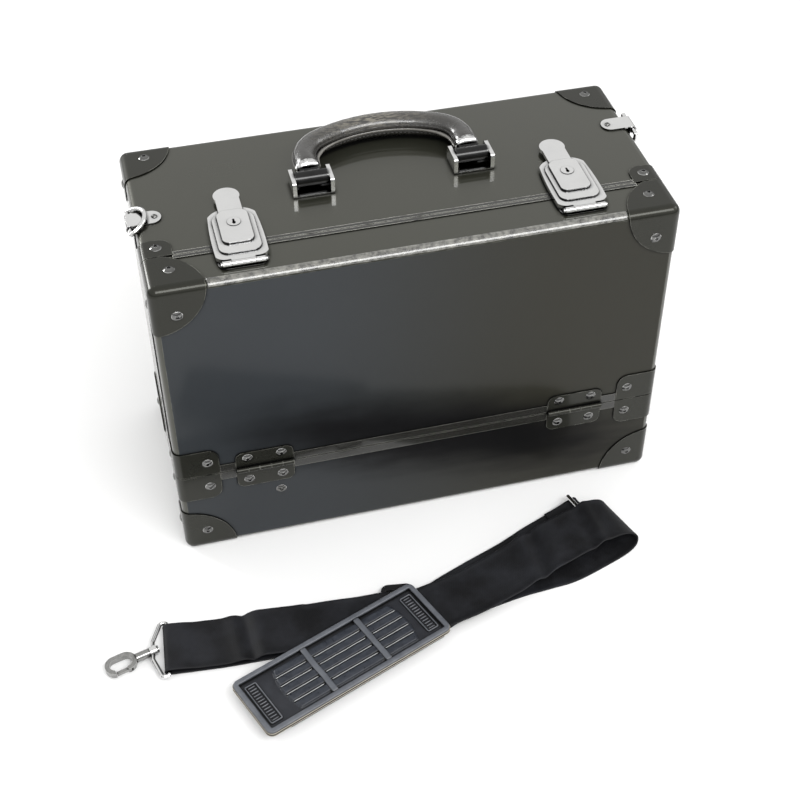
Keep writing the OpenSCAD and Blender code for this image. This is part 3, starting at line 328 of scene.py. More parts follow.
finishes = {
    "panelCover": dict(dark=(0.012, 0.0123, 0.009), light=(0.019, 0.0194, 0.0145), worn=(0.12, 0.12, 0.105),
                       gloss=(0.26, 0.36), bump=(0.1, 0.0004), scratches=0.2, scale=14.0, open=0.94,
                       fineScale=1400.0, fine=0.12, coat=0.62, Coat_Roughness=0.06, Coat_IOR=1.6,
                       Specular_IOR_Level=0.34, Specular_Tint=(1, 1, 0.75, 1)),
    # the front's painted shade: darker and warmer to the right, and darker in a belt low down
    "panelFront": dict(dark=(0.023, 0.0262, 0.0295), light=(0.028, 0.0318, 0.0355), worn=(0.1, 0.1, 0.1),
                       warm=(0.0205, 0.0198, 0.0142), deep=0.96, gloss=(0.32, 0.42), bump=(0.12, 0.0004),
                       edge=0.35, scratches=0.2, scale=9.0, fineScale=1400.0, fine=0.12, coat=0.36, open=0.94,
                       Coat_Roughness=0.12, Specular_IOR_Level=0.05),
    "blackMetal": dict(dark=(0.0085, 0.0087, 0.0068), light=(0.0145, 0.0148, 0.012), worn=(0.26, 0.26, 0.23),
                       gloss=(0.24, 0.34), bump=(0.1, 0.0003), edge=0.75, scratches=0.35, scale=30.0,
                       open=0.94, coat=0.36, Coat_Roughness=0.08, Specular_IOR_Level=0.16,
                       Specular_Tint=(1, 1, 0.8, 1)),
    # the bands' pale worn edges are partly wear and partly a painted highlight, kept to the top
    "blackBand": dict(dark=(0.012, 0.012, 0.0105), light=(0.024, 0.024, 0.021), worn=(0.6, 0.6, 0.54),
                      broken=0.27, lowWear=0.3, gloss=(0.16, 0.26), bump=(0.1, 0.0003), edge=1.0,
                      edgeWidth=0.0009, scale=30.0, open=0.95, coat=0.8, Coat_Roughness=0.05,
                      Specular_IOR_Level=0.2),
    # pale mottled colour: a painted highlight along the door's top edge
    "edgeBindingHighlight": dict(dark=(0.012, 0.012, 0.01), light=(0.19, 0.187, 0.166), contrast=0.17,
                        worn=(0.5, 0.49, 0.44), gloss=(0.08, 0.26), bump=(0.9, 0.0007), edge=0.6,
                        scratches=0.4, scale=210.0, fineScale=700.0, fine=0.9, open=0.97, coat=1.0,
                        Coat_Roughness=0.05, Coat_IOR=1.7),
    "castZinc": dict(dark=(0.12, 0.12, 0.117), light=(0.5, 0.5, 0.49), worn=(0.8, 0.8, 0.78),
                     gloss=(0.12, 0.24), bump=(0.25, 0.0003), edge=0.4, metallic=1.0, scale=170.0,
                     grime=(0.01, 0.01, 0.01), open=0.97),
    "chromePlate": dict(dark=(0.66, 0.66, 0.66), light=(0.78, 0.78, 0.775), worn=(0.5, 0.49, 0.46),
                        gloss=(0.05, 0.13), bump=(0.08, 0.0002), edge=0.15, scratches=0.25, metallic=1.0,
                        scale=50.0, fineScale=600.0, fine=0.1, grime=(0.01, 0.01, 0.011), open=0.94),
    "darkNickel": dict(dark=(0.10, 0.10, 0.098), light=(0.22, 0.22, 0.215), worn=(0.75, 0.75, 0.74),
                       gloss=(0.12, 0.22), bump=(0.1, 0.0002), edge=0.6, metallic=1.0, scale=160.0,
                       open=0.9),
    "blackNickel": dict(dark=(0.02, 0.02, 0.02), light=(0.05, 0.05, 0.05), worn=(0.45, 0.45, 0.44),
                        gloss=(0.1, 0.2), bump=(0.1, 0.0002), edge=0.8, metallic=1.0, scale=120.0),
    "brushedTongue": dict(dark=(0.42, 0.42, 0.42), light=(0.55, 0.55, 0.55), worn=(0.75, 0.75, 0.75),
                          gloss=(0.28, 0.4), bump=(0.2, 0.0002), scratches=0.8, metallic=1.0, scale=40.0),
    "velourLining": dict(dark=(0.045, 0.043, 0.042), light=(0.08, 0.077, 0.075), worn=(0.12, 0.115, 0.11),
                         gloss=(0.85, 0.95), bump=(0.5, 0.0006), edge=0.3, scratches=0.0, scale=45.0,
                         fineScale=2200.0, fine=1.0, Sheen_Weight=0.5, Sheen_Roughness=0.4),
    "mouldedTray": dict(dark=(0.04, 0.04, 0.041), light=(0.058, 0.058, 0.06), worn=(0.11, 0.11, 0.11),
                        gloss=(0.42, 0.55), bump=(0.25, 0.0003), edge=0.4, scratches=0.4, scale=30.0,
                        fineScale=1600.0, fine=0.7),
    "greyRubber": dict(dark=(0.045, 0.05, 0.06), light=(0.13, 0.138, 0.155), worn=(0.42, 0.42, 0.42),
                       gloss=(0.3, 0.5), bump=(0.45, 0.0004), edge=0.7, scratches=0.15, scale=150.0,
                       fineScale=1800.0, fine=0.6, grime=(0.008, 0.008, 0.01)),
    "darkRubber": dict(dark=(0.012, 0.0125, 0.015), light=(0.026, 0.028, 0.034), worn=(0.09, 0.09, 0.1),
                       gloss=(0.3, 0.45), bump=(0.3, 0.0003), edge=0.4, scratches=0.15, scale=110.0,
                       fineScale=1800.0, fine=0.6, Specular_IOR_Level=0.3),
    "ribRubber": dict(dark=(0.004, 0.005, 0.008), light=(0.045, 0.051, 0.064), worn=(0.2, 0.21, 0.24),
                      gloss=(0.25, 0.42), bump=(0.6, 0.0004), edge=0.4, scale=230.0, fineScale=1500.0,
                      fine=0.7, Specular_IOR_Level=0.4),
    "beigeRubber": dict(dark=(0.30, 0.27, 0.22), light=(0.42, 0.39, 0.33), worn=(0.5, 0.47, 0.42),
                        gloss=(0.45, 0.6), bump=(0.2, 0.0003), edge=0.3, scratches=0.1, scale=90.0,
                        fineScale=1800.0, fine=0.6),
    "paleRubber": dict(dark=(0.34, 0.35, 0.36), light=(0.56, 0.57, 0.58), worn=(0.6, 0.6, 0.6),
                       gloss=(0.35, 0.5), bump=(0.15, 0.0002), edge=0.2, scratches=0.0, scale=150.0),
    "weltEdge": dict(dark=(0.07, 0.067, 0.06), light=(0.18, 0.17, 0.155), worn=(0.42, 0.4, 0.36),
                     gloss=(0.16, 0.28), bump=(0.3, 0.0002), edge=0.8, scratches=0.1, scale=220.0,
                     coat=0.8, Coat_Roughness=0.08),
    "glossBuckle": dict(dark=(0.008, 0.008, 0.009), light=(0.014, 0.014, 0.015), worn=(0.06, 0.06, 0.06),
                        gloss=(0.14, 0.24), bump=(0.1, 0.0003), edge=0.4, scratches=0.4, scale=60.0,
                        coat=0.3, Coat_Roughness=0.06, Specular_IOR_Level=0.25),
    "paleFloor": dict(dark=(0.80, 0.80, 0.80), light=(0.82, 0.82, 0.82), worn=(0.8, 0.8, 0.8),
                      gloss=(0.6, 0.7), bump=(0.02, 0.0002), edge=0.0, scratches=0.0, scale=3.0,
                      grime=(0.86, 0.86, 0.86)),
}
materials = {name: coatedMaterial(name, **values) for name, values in finishes.items()}


def makeWebbingMaterial():
    made, tree, shader = newMaterial("wovenWebbing")
    weave = useGroup(tree, weaveGroup, Rib=0.0012, Pick=0.0016)
    grain = useGroup(tree, grainGroup, Scale=25.0, Fine_Scale=2600.0, Fine=0.5, Gloss_Low=0.5,
                     Gloss_High=0.66)
    thread = blendColour(tree, weave.outputs["Thread"], (0.002, 0.002, 0.0024), (0.0065, 0.0067, 0.008))
    faded = mapRange(tree, grain.outputs["Cloud"], 0.4, 0.62)
    tone = blendColour(tree, faded, thread, (0.013, 0.0138, 0.017))
    tree.links.new(tone, shader.inputs["Base Color"])
    tree.links.new(grain.outputs["Roughness"], shader.inputs["Roughness"])
    total = calc(tree, "MULTIPLY_ADD", grain.outputs["Height"], 0.3, weave.outputs["Height"])
    addBump(tree, shader, 0.5, 0.00025, total)
    setShader(shader, Sheen_Weight=0.02, Sheen_Roughness=0.3, Specular_IOR_Level=0.2)
    return made


def makeLeatherMaterial():  # the flecks run along the grip, where its "worn" attribute lets them
    made, tree, shader = newMaterial("gripLeather")
    leather = useGroup(tree, leatherGroup, Scale=520.0, Crease_Scale=120.0, Crease=0.9)
    grain = useGroup(tree, grainGroup, Scale=55.0, Fine_Scale=1500.0, Fine=0.4, Gloss_Low=0.2,
                     Gloss_High=0.36)
    wear = useGroup(tree, wearGroup, Edge_Width=0.001, Amount=0.3, Scratches=0.1)
    base = blendColour(tree, grain.outputs["Cloud"], (0.014, 0.013, 0.0115), (0.032, 0.03, 0.026))
    base = blendColour(tree, leather.outputs["Pore"], (0.012, 0.011, 0.0105), base)
    mask = put(tree, "ShaderNodeAttribute", attribute_name="worn").outputs["Fac"]
    place = put(tree, "ShaderNodeTexCoord").outputs["Object"]
    drawn = put(tree, "ShaderNodeMapping", (("Vector", place), ("Scale", (170.0, 800.0, 800.0)))).outputs[0]
    flecks = mapRange(tree, noiseValue(tree, drawn, 1.0, 4.0), 0.44, 0.6, 0.0, 0.85)
    base = blendColour(tree, calc(tree, "MULTIPLY", flecks, mask), base, (0.19, 0.175, 0.14))
    base = blendColour(tree, wear.outputs["Wear"], base, (0.1, 0.09, 0.08))
    tree.links.new(base, shader.inputs["Base Color"])
    tree.links.new(grain.outputs["Roughness"], shader.inputs["Roughness"])
    addBump(tree, shader, 0.45, 0.0005, leather.outputs["Height"])
    setShader(shader, Coat_Weight=0.9, Coat_Roughness=0.16)
    return made


def makeThreadMaterial():
    made, tree, shader = newMaterial("waxedThread")
    grain = useGroup(tree, grainGroup, Scale=400.0, Fine_Scale=4000.0, Fine=0.8, Gloss_Low=0.5,
                     Gloss_High=0.7)
    tone = blendColour(tree, grain.outputs["Cloud"], (0.03, 0.029, 0.028), (0.075, 0.072, 0.07))
    tree.links.new(tone, shader.inputs["Base Color"])
    tree.links.new(grain.outputs["Roughness"], shader.inputs["Roughness"])
    addBump(tree, shader, 0.5, 0.0001, grain.outputs["Height"])
    return made


materials["wovenWebbing"] = makeWebbingMaterial()
materials["gripLeather"] = makeLeatherMaterial()
materials["waxedThread"] = makeThreadMaterial()
floor.data.materials.append(materials["paleFloor"])
print("materials ready:", len(materials))


slotFinish = {"panel_front": "panelFront", "panel_cover": "panelCover", "lining": "velourLining",
              "tongue": "brushedTongue", "black_band": "blackBand", "black_metal": "blackMetal",
              "rivet": "darkNickel", "chrome": "chromePlate", "leather": "gripLeather",
              "webbing": "wovenWebbing", "pad_rubber": "greyRubber", "buckle": "glossBuckle",
              "tray": "mouldedTray"}
nodeFinish = {"strap_hook_left": "castZinc", "strap_hook_right": "castZinc", "hook_gate_left": "castZinc",
              "hook_gate_right": "castZinc", "handle_eyes": "blackNickel"}
rounding = {"black_metal": 0.35, "black_band": 0.25, "chrome": 0.3, "buckle": 0.8, "tray": 0.5,
            "tongue": 0.2, "panel_cover": 0.25, "panel_front": 0.25, "rivet": 0.12}


def roundEdges(obj, width, segments=3, angle=35):
    edge = obj.modifiers.new("roundedEdges", "BEVEL")
    edge.width = width * mm
    edge.segments = segments
    edge.limit_method = "ANGLE"
    edge.angle_limit = math.radians(angle)
    edge.harden_normals = True


for row in frame["record"]["subparts"]:
    obj, slotName = nodes[row["node"]], row["material_slot"]
    obj.data.materials.clear()
    obj.data.materials.append(materials[nodeFinish.get(obj.name, slotFinish[slotName])])
    if slotName in rounding:
        roundEdges(obj, rounding[slotName])
print("frame nodes dressed")


def sweep(bm, rings, loop=False, caps=True):  # joins rings of points into one skin
    made = [[bm.verts.new(point) for point in ring] for ring in rings]
    count = len(made[0])
    follow = made[1:] + made[:1] if loop else made[1:]
    for first, second in zip(made, follow):
        for k in range(count):
            m = (k + 1) % count
            bm.faces.new((first[k], first[m], second[m], second[k]))
    if caps and not loop:
        bm.faces.new(list(reversed(made[0])))
        bm.faces.new(made[-1])
    return made


def newPiece(name, bm, material, body, matrix=Matrix(), replaced=()):  # drawn in mm
    bmesh.ops.recalc_face_normals(bm, faces=bm.faces)
    bmesh.ops.transform(bm, matrix=Matrix.Scale(mm, 4) @ matrix, verts=bm.verts)
    mesh = bpy.data.meshes.new(name)
    bm.to_mesh(mesh)
    bm.free()
    mesh.shade_smooth()
    obj = bpy.data.objects.new(name, mesh)
    bpy.context.scene.collection.objects.link(obj)
    mesh.materials.append(materials[material])
    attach(obj, body)
    if replaced:
        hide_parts(*replaced)
    return obj


def turned(x, y, z, turn):
    return Matrix.Translation((x, y, z)) @ Matrix.Rotation(math.radians(turn), 4, "Z")


def smoothRoute(points, step):  # a smooth curve through the points, in pieces of about one step
    points = [Vector(p) for p in points]
    times = [0.0]
    for a, b in zip(points, points[1:]):
        times.append(times[-1] + math.sqrt((b.xyz - a.xyz).length))
    slopes = []
    for i, p in enumerate(points):
        j, k = max(i - 1, 0), min(i + 1, len(points) - 1)
        if j == i or k == i:
            slopes.append((points[k] - points[j]) / (times[k] - times[j]))
        else:
            early = (p - points[j]) / (times[i] - times[j])
            late = (points[k] - p) / (times[k] - times[i])
            share = (times[i] - times[j]) / (times[k] - times[j])
            slopes.append(early * (1 - share) + late * share)
    route = []
    for i in range(len(points) - 1):
        a, b, gap = points[i], points[i + 1], times[i + 1] - times[i]
        parts = max(1, math.ceil((b.xyz - a.xyz).length / step))
        for n in range(parts):
            t = n / parts
            route.append(a * (2 * t ** 3 - 3 * t ** 2 + 1) + b * (3 * t ** 2 - 2 * t ** 3)
                         + slopes[i] * gap * (t ** 3 - 2 * t ** 2 + t)
                         + slopes[i + 1] * gap * (t ** 3 - t ** 2))
    return route + [points[-1]]


def strapFrames(route):  # place, width direction and upward direction at each point
    frames = []
    for i, p in enumerate(route):
        ahead = (route[min(i + 1, len(route) - 1)].xyz - route[max(i - 1, 0)].xyz).normalized()
        turn = math.radians(p[3])
        side = Vector((-math.sin(turn), math.cos(turn), 0))
        frames.append((p.xyz, side, ahead.cross(side).normalized()))
    return frames


def bend(s, z, radius, start, end, count):  # an arc about s, z from start to end in degrees
    return [(s + radius * math.cos(math.radians(start + (end - start) * i / count)),
             z + radius * math.sin(math.radians(start + (end - start) * i / count)))
            for i in range(count + 1)]


def swell(x, high, reach):
    return high * math.exp(-(x / reach) ** 2)


def ripple(x, y, z):  # smooth uneven waves, the same on each run
    return noise.noise(Vector((x, y, z)))


webbing = {"half": 22.5, "core": 0.56, "selvedge": 0.7, "selvedgeIn": 19.6, "step": 2.6, "cup": 0.3,
           "cupLength": 38, "pucker": 0.16, "puckerLength": 9, "puckerWidth": 11}


def webbingProfile():  # thicker along its two selvedges
    half, core, thick, inner = (webbing[k] for k in ("half", "core", "selvedge", "selvedgeIn"))
    top = [(-half + 0.5, thick * 0.86), (-half + 1.1, thick), (-inner - 0.35, thick), (-inner + 0.2, core)]
    top += [(x, core) for x in (-16, -12, -8, -4, 0, 4, 8, 12, 16)]
    top += [(-x, h) for x, h in reversed(top[:4])]
    return [(-half, 0.0)] + top + [(half, 0.0)] + [(x, -h) for x, h in reversed(top)]


# calm is where the webbing stays flat in metal or under the pad, as lengths along it;
# a crease runs from near to far across it, with its rise and reach, where it lies above a height
def makeStrap(name, points, replaced, seed, calm, above, creases, matrix=Matrix()):
    route = smoothRoute(points, webbing["step"])
    frames, profile = strapFrames(route), webbingProfile()
    bm = bmesh.new()
    rings, run, total = [], [], 0.0
    for i, (origin, side, up) in enumerate(frames):
        if i:
            total += (origin - frames[i - 1][0]).length
        run.append(total)
        quiet = any(low <= total <= high for low, high in calm)
        sway = ripple(total / webbing["cupLength"], seed, 0)
        wave = 0.0 if quiet else webbing["cup"] * (0.5 + 0.5 * sway)
        ring = []
        for across, high in profile:
            lift = wave * (across / webbing["half"]) ** 2
            if not quiet:
                pucker = ripple(total / webbing["puckerLength"], across / webbing["puckerWidth"], seed + 4)
                lift += webbing["pucker"] * max(0, pucker)
            point = origin + side * across + up * high + Vector((0, 0, lift))
            if origin.z > above and not quiet:
                share = across / (2 * webbing["half"]) + 0.5
                for near, far, rise, reach in creases:
                    point.z += swell(point.x - near - (far - near) * share, rise, reach)
            ring.append(point)
        rings.append(ring)
    made = sweep(bm, rings)
    along = {v: run[i] for i, ring in enumerate(made) for v in ring}
    wide = {v: profile[k][0] + webbing["half"] for ring in made for k, v in enumerate(ring)}
    layer = bm.loops.layers.uv.new("flat")
    for face in bm.faces:
        for loop in face.loops:
            loop[layer].uv = (wide[loop.vert] * mm, along[loop.vert] * mm)
    strap = newPiece(name, bm, "wovenWebbing", "strap", matrix, replaced)
    print(name, "length", round(total), "mm")


# a route's points are x, y, z in mm and the webbing's turn in degrees
hookRoute = [(-51.7, -201.8, 2.3, -8), (-53.2, -201.6, 4.3, -8), (-55.2, -201.4, 5.4, -8),
             (-59, -201, 5.7, -8), (-64, -200.3, 5.4, -8), (-76, -198.8, 3.4, -6), (-100, -196.5, 3, -3),
             (-120, -195.6, 3.3, -1), (-135, -195.3, 5.2, -1), (-150, -195, 6.6, -2),
             (-165, -194.8, 6, -3), (-185, -193.8, 4.2, -4), (-205, -192.2, 5.0, -5),
             (-220, -191.1, 6.6, -5)]
hookRoute += [(x, -190.5, z, -5) for x, z in bend(-229, 4.4, 2.7, 90, 270, 6)]
hookRoute += [(-215, -191.5, 1.1, -5), (-185, -193.8, 0.8, -4), (-150, -195, 0.8, -2),
              (-100, -196.5, 0.8, -3), (-66, -200.1, 0.8, -8), (-52, -201.8, 0.8, -8)]
makeStrap("strapHookEnd", hookRoute, ["strap_hook_end"], seed=1.0,
          calm=((0, 22),), above=3.2,
          creases=((-166, -168, -2.4, 3.4), (-175, -177, 1.1, 5), (-157, -157, 1.1, 5),
                   (-208, -206, -0.5, 6), (-118, -121, 0.7, 7), (-104, -106, -0.4, 6)))

# the long webbing is drawn along its own line; under and over the pad it slants by padTurn
longRun = {"place": (-23.2, -205.4, 0), "turn": 18.5, "padTurn": 3.1, "padFrom": -84.3, "padAside": -6.8,
           "underPad": 7.2, "overPlate": 10.8}
padTurn = longRun["padTurn"]


def padLine(s):
    return longRun["padAside"] + (s - longRun["padFrom"]) * math.tan(math.radians(padTurn))


longRoute = [(136, 11, 4.4, 0), (150, 11, 5.4, 0), (159, 11, 7.0, 0)]
longRoute += [(s, 11, z, 0) for s, z in bend(165, 5.2, 2.7, 90, -90, 6)]
longRoute += [(154, 11, 2.5, 0), (147, 11.3, 2.5, 0), (117, 10, 2.5, 0), (87, 6.7, 2.5, 0),
              (49, 5.2, 2.5, 0), (24, 3, 3.4, 0), (4, -1, 6.4, 1)]
longRoute += [(s, padLine(s), longRun["underPad"], padTurn) for s in (-14, -80, -142)]
longRoute += [(s, padLine(s), z, padTurn) for s, z in bend(-151.5, 9.0, 1.8, 270, 90, 6)]
longRoute += [(s, padLine(s), longRun["overPlate"], padTurn) for s in (-142, -80, -6)]
longRoute += [(10, -3.4, 10.8, 2), (34, -5.4, 10.8, 0), (60, -5.6, 11.6, 0), (88, -5.6, 14.8, 0),
              (115, -6, 18.2, 0), (140, -6.4, 20.2, 0), (158, -7, 20.8, 0), (171, -8, 19.0, 0),
              (179, -9.2, 14.6, 0), (182, -10.6, 9.6, 0), (180.4, -12, 5, 0), (175, -13, 2, 0),
              (166, -13.8, 0.8, 0), (150, -14.5, 0.8, -2), (118, -14, 0.8, -4), (98, -9.5, 0.8, -5),
              (75, -4, 0.8, -4), (50, 0, 0.8, -3), (20, 3.4, 0.8, 0), (-16, 8, 0.8, 0)]
makeStrap("strapLong", longRoute, ["strap_long"], seed=7.0,
          calm=((150, 530),), above=12.0,
          creases=((92, 107, -2.4, 4.5), (83, 98, 1.4, 6), (104, 119, 1.0, 7), (149, 160, 2.0, 4.2),
                   (140, 151, -1.6, 4.5), (68, 73, -0.5, 6)),
          matrix=turned(*longRun["place"], longRun["turn"]))
print("webbing ready")

grip = {"bracketX": 62.6, "start": 12.0, "bend": 26.0, "turn": 62.0, "reach": 57.0, "radius": 9.3,
        "around": 72, "step": 1.3, "place": (0, 4.25, 281.5), "tilt": 0.6, "endDip": (0.55, 0.018),
        "seamDip": (1.0, 0.16), "sewnAt": 0.42, "sewnDip": (0.25, 0.1), "pinch": 0.35, "pinchAt": 0.17,
        "pinchReach": 0.07, "lumps": 0.1, "wornAt": 0.47, "wornReach": 0.2}
gripMatrix = Matrix.Translation(grip["place"]) @ Matrix.Rotation(math.radians(grip["tilt"]), 4, "X")


def gripLine():  # two legs, two bends and the crown between them, as x, reach and turn
    start = grip["start"]
    rise, crown = math.radians(grip["turn"]), math.radians(90 - grip["turn"])
    crownRadius = (grip["bracketX"] - grip["bend"] * (1 - math.cos(rise))) / math.sin(crown)
    leg = grip["reach"] - grip["bend"] * math.sin(rise) - crownRadius * (1 - math.cos(crown))
    half = []
    count = max(2, round((leg - start) / grip["step"]))
    half += [(-grip["bracketX"], start + (leg - start) * i / count, math.pi / 2) for i in range(count)]
    count = round(grip["bend"] * rise / grip["step"])
    half += [(grip["bend"] - grip["bracketX"] - grip["bend"] * math.cos(rise * i / count),
              leg + grip["bend"] * math.sin(rise * i / count), math.pi / 2 - rise * i / count)
             for i in range(count)]
    count = round(crownRadius * crown / grip["step"])
    half += [(-crownRadius * math.sin(crown * (1 - i / count)),
              grip["reach"] - crownRadius + crownRadius * math.cos(crown * (1 - i / count)),
              crown * (1 - i / count)) for i in range(count + 1)]
    return half + [(-x, reach, -turn) for x, reach, turn in reversed(half[:-1])]


def gripFrames():
    return [(Vector((x, reach, 0)), Vector((-math.sin(turn), math.cos(turn), 0)), Vector((0, 0, 1)))
            for x, reach, turn in gripLine()]


def gripRadius(share, angle):  # pulled in at its ends, at the seams and along the stitches
    seam = min(abs(math.remainder(angle, math.tau)), abs(math.remainder(angle - math.pi, math.tau)))
    full = grip["radius"] - swell(min(share, 1 - share), *grip["endDip"])
    return full - swell(seam, *grip["seamDip"]) - swell(seam - grip["sewnAt"], *grip["sewnDip"])


bm = bmesh.new()
gripRun = gripFrames()
last = len(gripRun) - 1
rings, worn = [], []
for i, (origin, side, up) in enumerate(gripRun):
    share = i / last
    bent = swell(min(share, 1 - share) - grip["pinchAt"], 1.0, grip["pinchReach"])
    rubbed = swell(share - grip["wornAt"], 1.0, grip["wornReach"])
    ring = []
    for k in range(grip["around"]):
        angle = k * math.tau / grip["around"]
        inner = 0.5 - 0.5 * math.cos(angle)
        crease = ripple(share * 90, math.sin(angle) * 1.6, 3.0)
        lump = ripple(share * 40, math.sin(angle) * 2, math.cos(angle) * 2)
        radius = gripRadius(share, angle)
        radius -= bent * inner * grip["pinch"] * abs(crease) + grip["lumps"] * lump
        ring.append(origin + side * radius * math.cos(angle) + up * radius * math.sin(angle))
        worn.append(max(0.0, math.sin(angle)) * rubbed)
    rings.append(ring)
sweep(bm, rings)
gripPiece = newPiece("handleGrip", bm, "gripLeather", "handle", gripMatrix, ["handle_grip"])
mask = gripPiece.data.attributes.new("worn", "FLOAT", "POINT")
mask.data.foreach_set("value", worn)

# each welt is widest at one share of the grip's length, by so much, over so long
welt = {"inside": 7.6, "reach": 9.9, "half": 0.95, "wave": 0.12, "outer": (0.8, 1.3, 0.13),
        "inner": (0.15, 2.6, 0.1)}


def makeWelt(name, direction, widest, high, reach):
    bm = bmesh.new()
    inside, half, rings = welt["inside"], welt["half"], []
    for i, (origin, side, up) in enumerate(gripRun):
        share = i / last
        spot = share if direction > 0 else min(share, 1 - share)
        far = welt["reach"] + swell(spot - widest, high, reach)
        far += welt["wave"] * ripple(share * 60, direction * 5.0, 1)
        outline = [(inside, -half), (far - 0.5, -half), (far - 0.08, -half * 0.6), (far, 0),
                   (far - 0.08, half * 0.6), (far - 0.5, half), (inside, half)]
        rings.append([origin + side * (direction * a) + up * b for a, b in outline])
    sweep(bm, rings)
    newPiece(name, bm, "weltEdge", "handle", gripMatrix)


makeWelt("handleWeltOuter", 1, *welt["outer"])
makeWelt("handleWeltInner", -1, *welt["inner"])

# a stitch's shape: share of its length, of its radius, and its height in radii
stitch = {"pitch": 3.3, "share": 0.78, "radius": 0.3, "angle": 0.34, "proud": 0.02, "clear": 3,
          "shape": ((0, 0.35, -0.35), (0.18, 0.9, 0.05), (0.5, 1, 0.2), (0.82, 0.9, 0.05), (1, 0.35, -0.35))}


def addStitch(bm, a, b, up):
    side = (b - a).normalized().cross(up).normalized()
    radius, rings = stitch["radius"], []
    for t, scale, lift in stitch["shape"]:
        middle = a.lerp(b, t) + up * lift * radius * 2
        rings.append([middle + side * (math.cos(k * math.tau / 6) * radius * scale)
                      + up * (math.sin(k * math.tau / 6) * radius * scale) for k in range(6)])
    sweep(bm, rings)


def stitchLine(bm, points, ups):
    left, start = 0.0, None
    for i in range(len(points) - 1):
        a, b = points[i], points[i + 1]
        length = (b - a).length
        while left < length:
            spot = a.lerp(b, left / length)
            if start is None:
                start = spot
                left += stitch["pitch"] * stitch["share"]
            else:
                addStitch(bm, start, spot, ups[i])
                start = None
                left += stitch["pitch"] * (1 - stitch["share"])
        left -= length


bm = bmesh.new()
clear = stitch["clear"]
for angle in (stitch["angle"], math.pi - stitch["angle"]):
    for face in (1, -1):
        points, ups = [], []
        for i, (origin, side, up) in enumerate(gripRun[clear:-clear]):
            outward = side * math.cos(angle) + up * (math.sin(angle) * face)
            points.append(origin + outward * (gripRadius((i + clear) / last, angle) + stitch["proud"]))
            ups.append(outward)
        stitchLine(bm, points, ups)
newPiece("handleStitches", bm, "waxedThread", "handle", gripMatrix)

# each ring of a ferrule: how far out, and its half width and half height
ferrule = {"around": 40, "wall": 0.93, "crinkle": 0.085, "corner": 3.2, "lip": 0.35, "squareRings": 4,
           "rings": ((8.6, 7.9, 5.0), (8.9, 8.4, 5.8), (9.8, 8.7, 6.9), (10.8, 9.0, 7.8),
                     (11.7, 9.3, 8.5), (12.4, 9.5, 8.95), (12.9, 9.45, 9.0), (13.1, 9.1, 8.7))}
bm = bmesh.new()
count, corner = ferrule["around"], ferrule["corner"]
for x in (-grip["bracketX"], grip["bracketX"]):
    rings = []
    for n, (reach, wide, tall) in enumerate(ferrule["rings"]):
        ring = []
        for k in range(count):
            angle = k * math.tau / count
            c, s = math.cos(angle), math.sin(angle)
            pull = 1 + ferrule["crinkle"] * ripple(c * 4.2, s * 4.2, n * 0.6 + x)
            square, lip = 1.0, 0.0
            if n < ferrule["squareRings"]:
                square = (abs(c) ** corner + abs(s) ** corner) ** (-1 / corner)
            if n > ferrule["squareRings"]:
                lip = ferrule["lip"] * ripple(c * 4, s * 4, x * 0.1 + 9)
            ring.append(Vector((x + wide * c * square * pull, reach + lip, tall * s * square * pull)))
        rings.append(ring)
    inside = [[Vector((x, p.y, 0)) + Vector((p.x - x, 0, p.z)) * ferrule["wall"] for p in ring]
              for ring in rings]
    outerRings, innerRings = sweep(bm, rings, caps=False), sweep(bm, inside, caps=False)
    for first, second in ((outerRings[0], innerRings[0]), (outerRings[-1], innerRings[-1])):
        for k in range(count):
            m = (k + 1) % count
            bm.faces.new((first[k], first[m], second[m], second[k]))
newPiece("handleFerrules", bm, "chromePlate", "handle", gripMatrix)
print("handle ready")

# binding along the door's rounded top edge, its pale mottled colour a painted highlight; from and to are
# angles round that edge
binding = {"half": 157.4, "centre": (-84.0, 266.0), "radius": 6.0, "thick": 0.42, "edge": 0.15,
           "sunk": 0.3, "from": 84, "to": 157, "sag": 4, "stations": 240, "steps": 12}
bm = bmesh.new()
rings = []
stations, steps = binding["stations"], binding["steps"]
cy, cz = binding["centre"]
for i in range(stations + 1):
    x = binding["half"] * (2 * i / stations - 1)
    wrinkle = 0.1 * ripple(x / 4, 3, 0) + 0.06 * ripple(x / 1.5, 7, 0)
    sag = binding["sag"] * ripple(x / 17, 1, 0)
    profile = []
    for step in range(steps + 1):
        angle = math.radians(binding["from"] + (binding["to"] + sag - binding["from"]) * step / steps)
        lift = binding["edge"]
        if 0 < step < steps:
            lift = binding["thick"] + wrinkle * math.sin(math.pi * step / steps)
        profile.append((binding["radius"] + lift, angle))
    profile += [(binding["radius"] - binding["sunk"], angle) for _, angle in profile[::-1]]
    rings.append([Vector((x, cy + r * math.cos(a), cz + r * math.sin(a))) for r, a in profile])
sweep(bm, rings)
newPiece("doorEdgeHighlight", bm, "edgeBindingHighlight", "door")
print("door edge ready")

pad = {"length": 165.0, "width": 55.0, "low": 11.8, "plate": 14.0, "wave": 0.25, "inset": 3,
       "rimTop": 17.0, "bars": (-22.0, 27.0), "barHalf": 23.4, "barWave": 0.4, "barDrop": 0.3,
       "ribStep": 8.4, "ribReach": 57.0, "ribCentre": 2.5, "ribHalf": 21.3, "ribWide": 3.55,
       "ribTall": 1.7, "ribSlope": 0.9, "ribEnd": 1.2, "ribRough": 0.12, "field": (10.5, 39, 1.6),
       "fieldAt": 71.2, "fieldBars": 13, "fieldStep": 2.8, "fieldReach": 3.4, "fieldBar": (0.62, 1.1),
       "fieldTip": (0.3, 0.5), "lanes": (-12.6, -4.2, 4.2, 12.6),
       "runs": ((-58, -24.8), (-19.2, 24.2), (29.8, 58)), "columns": 230, "rows": 110,
       "place": (-101, -238.6, 0), "turn": 21.6}
padMatrix = turned(*pad["place"], pad["turn"])
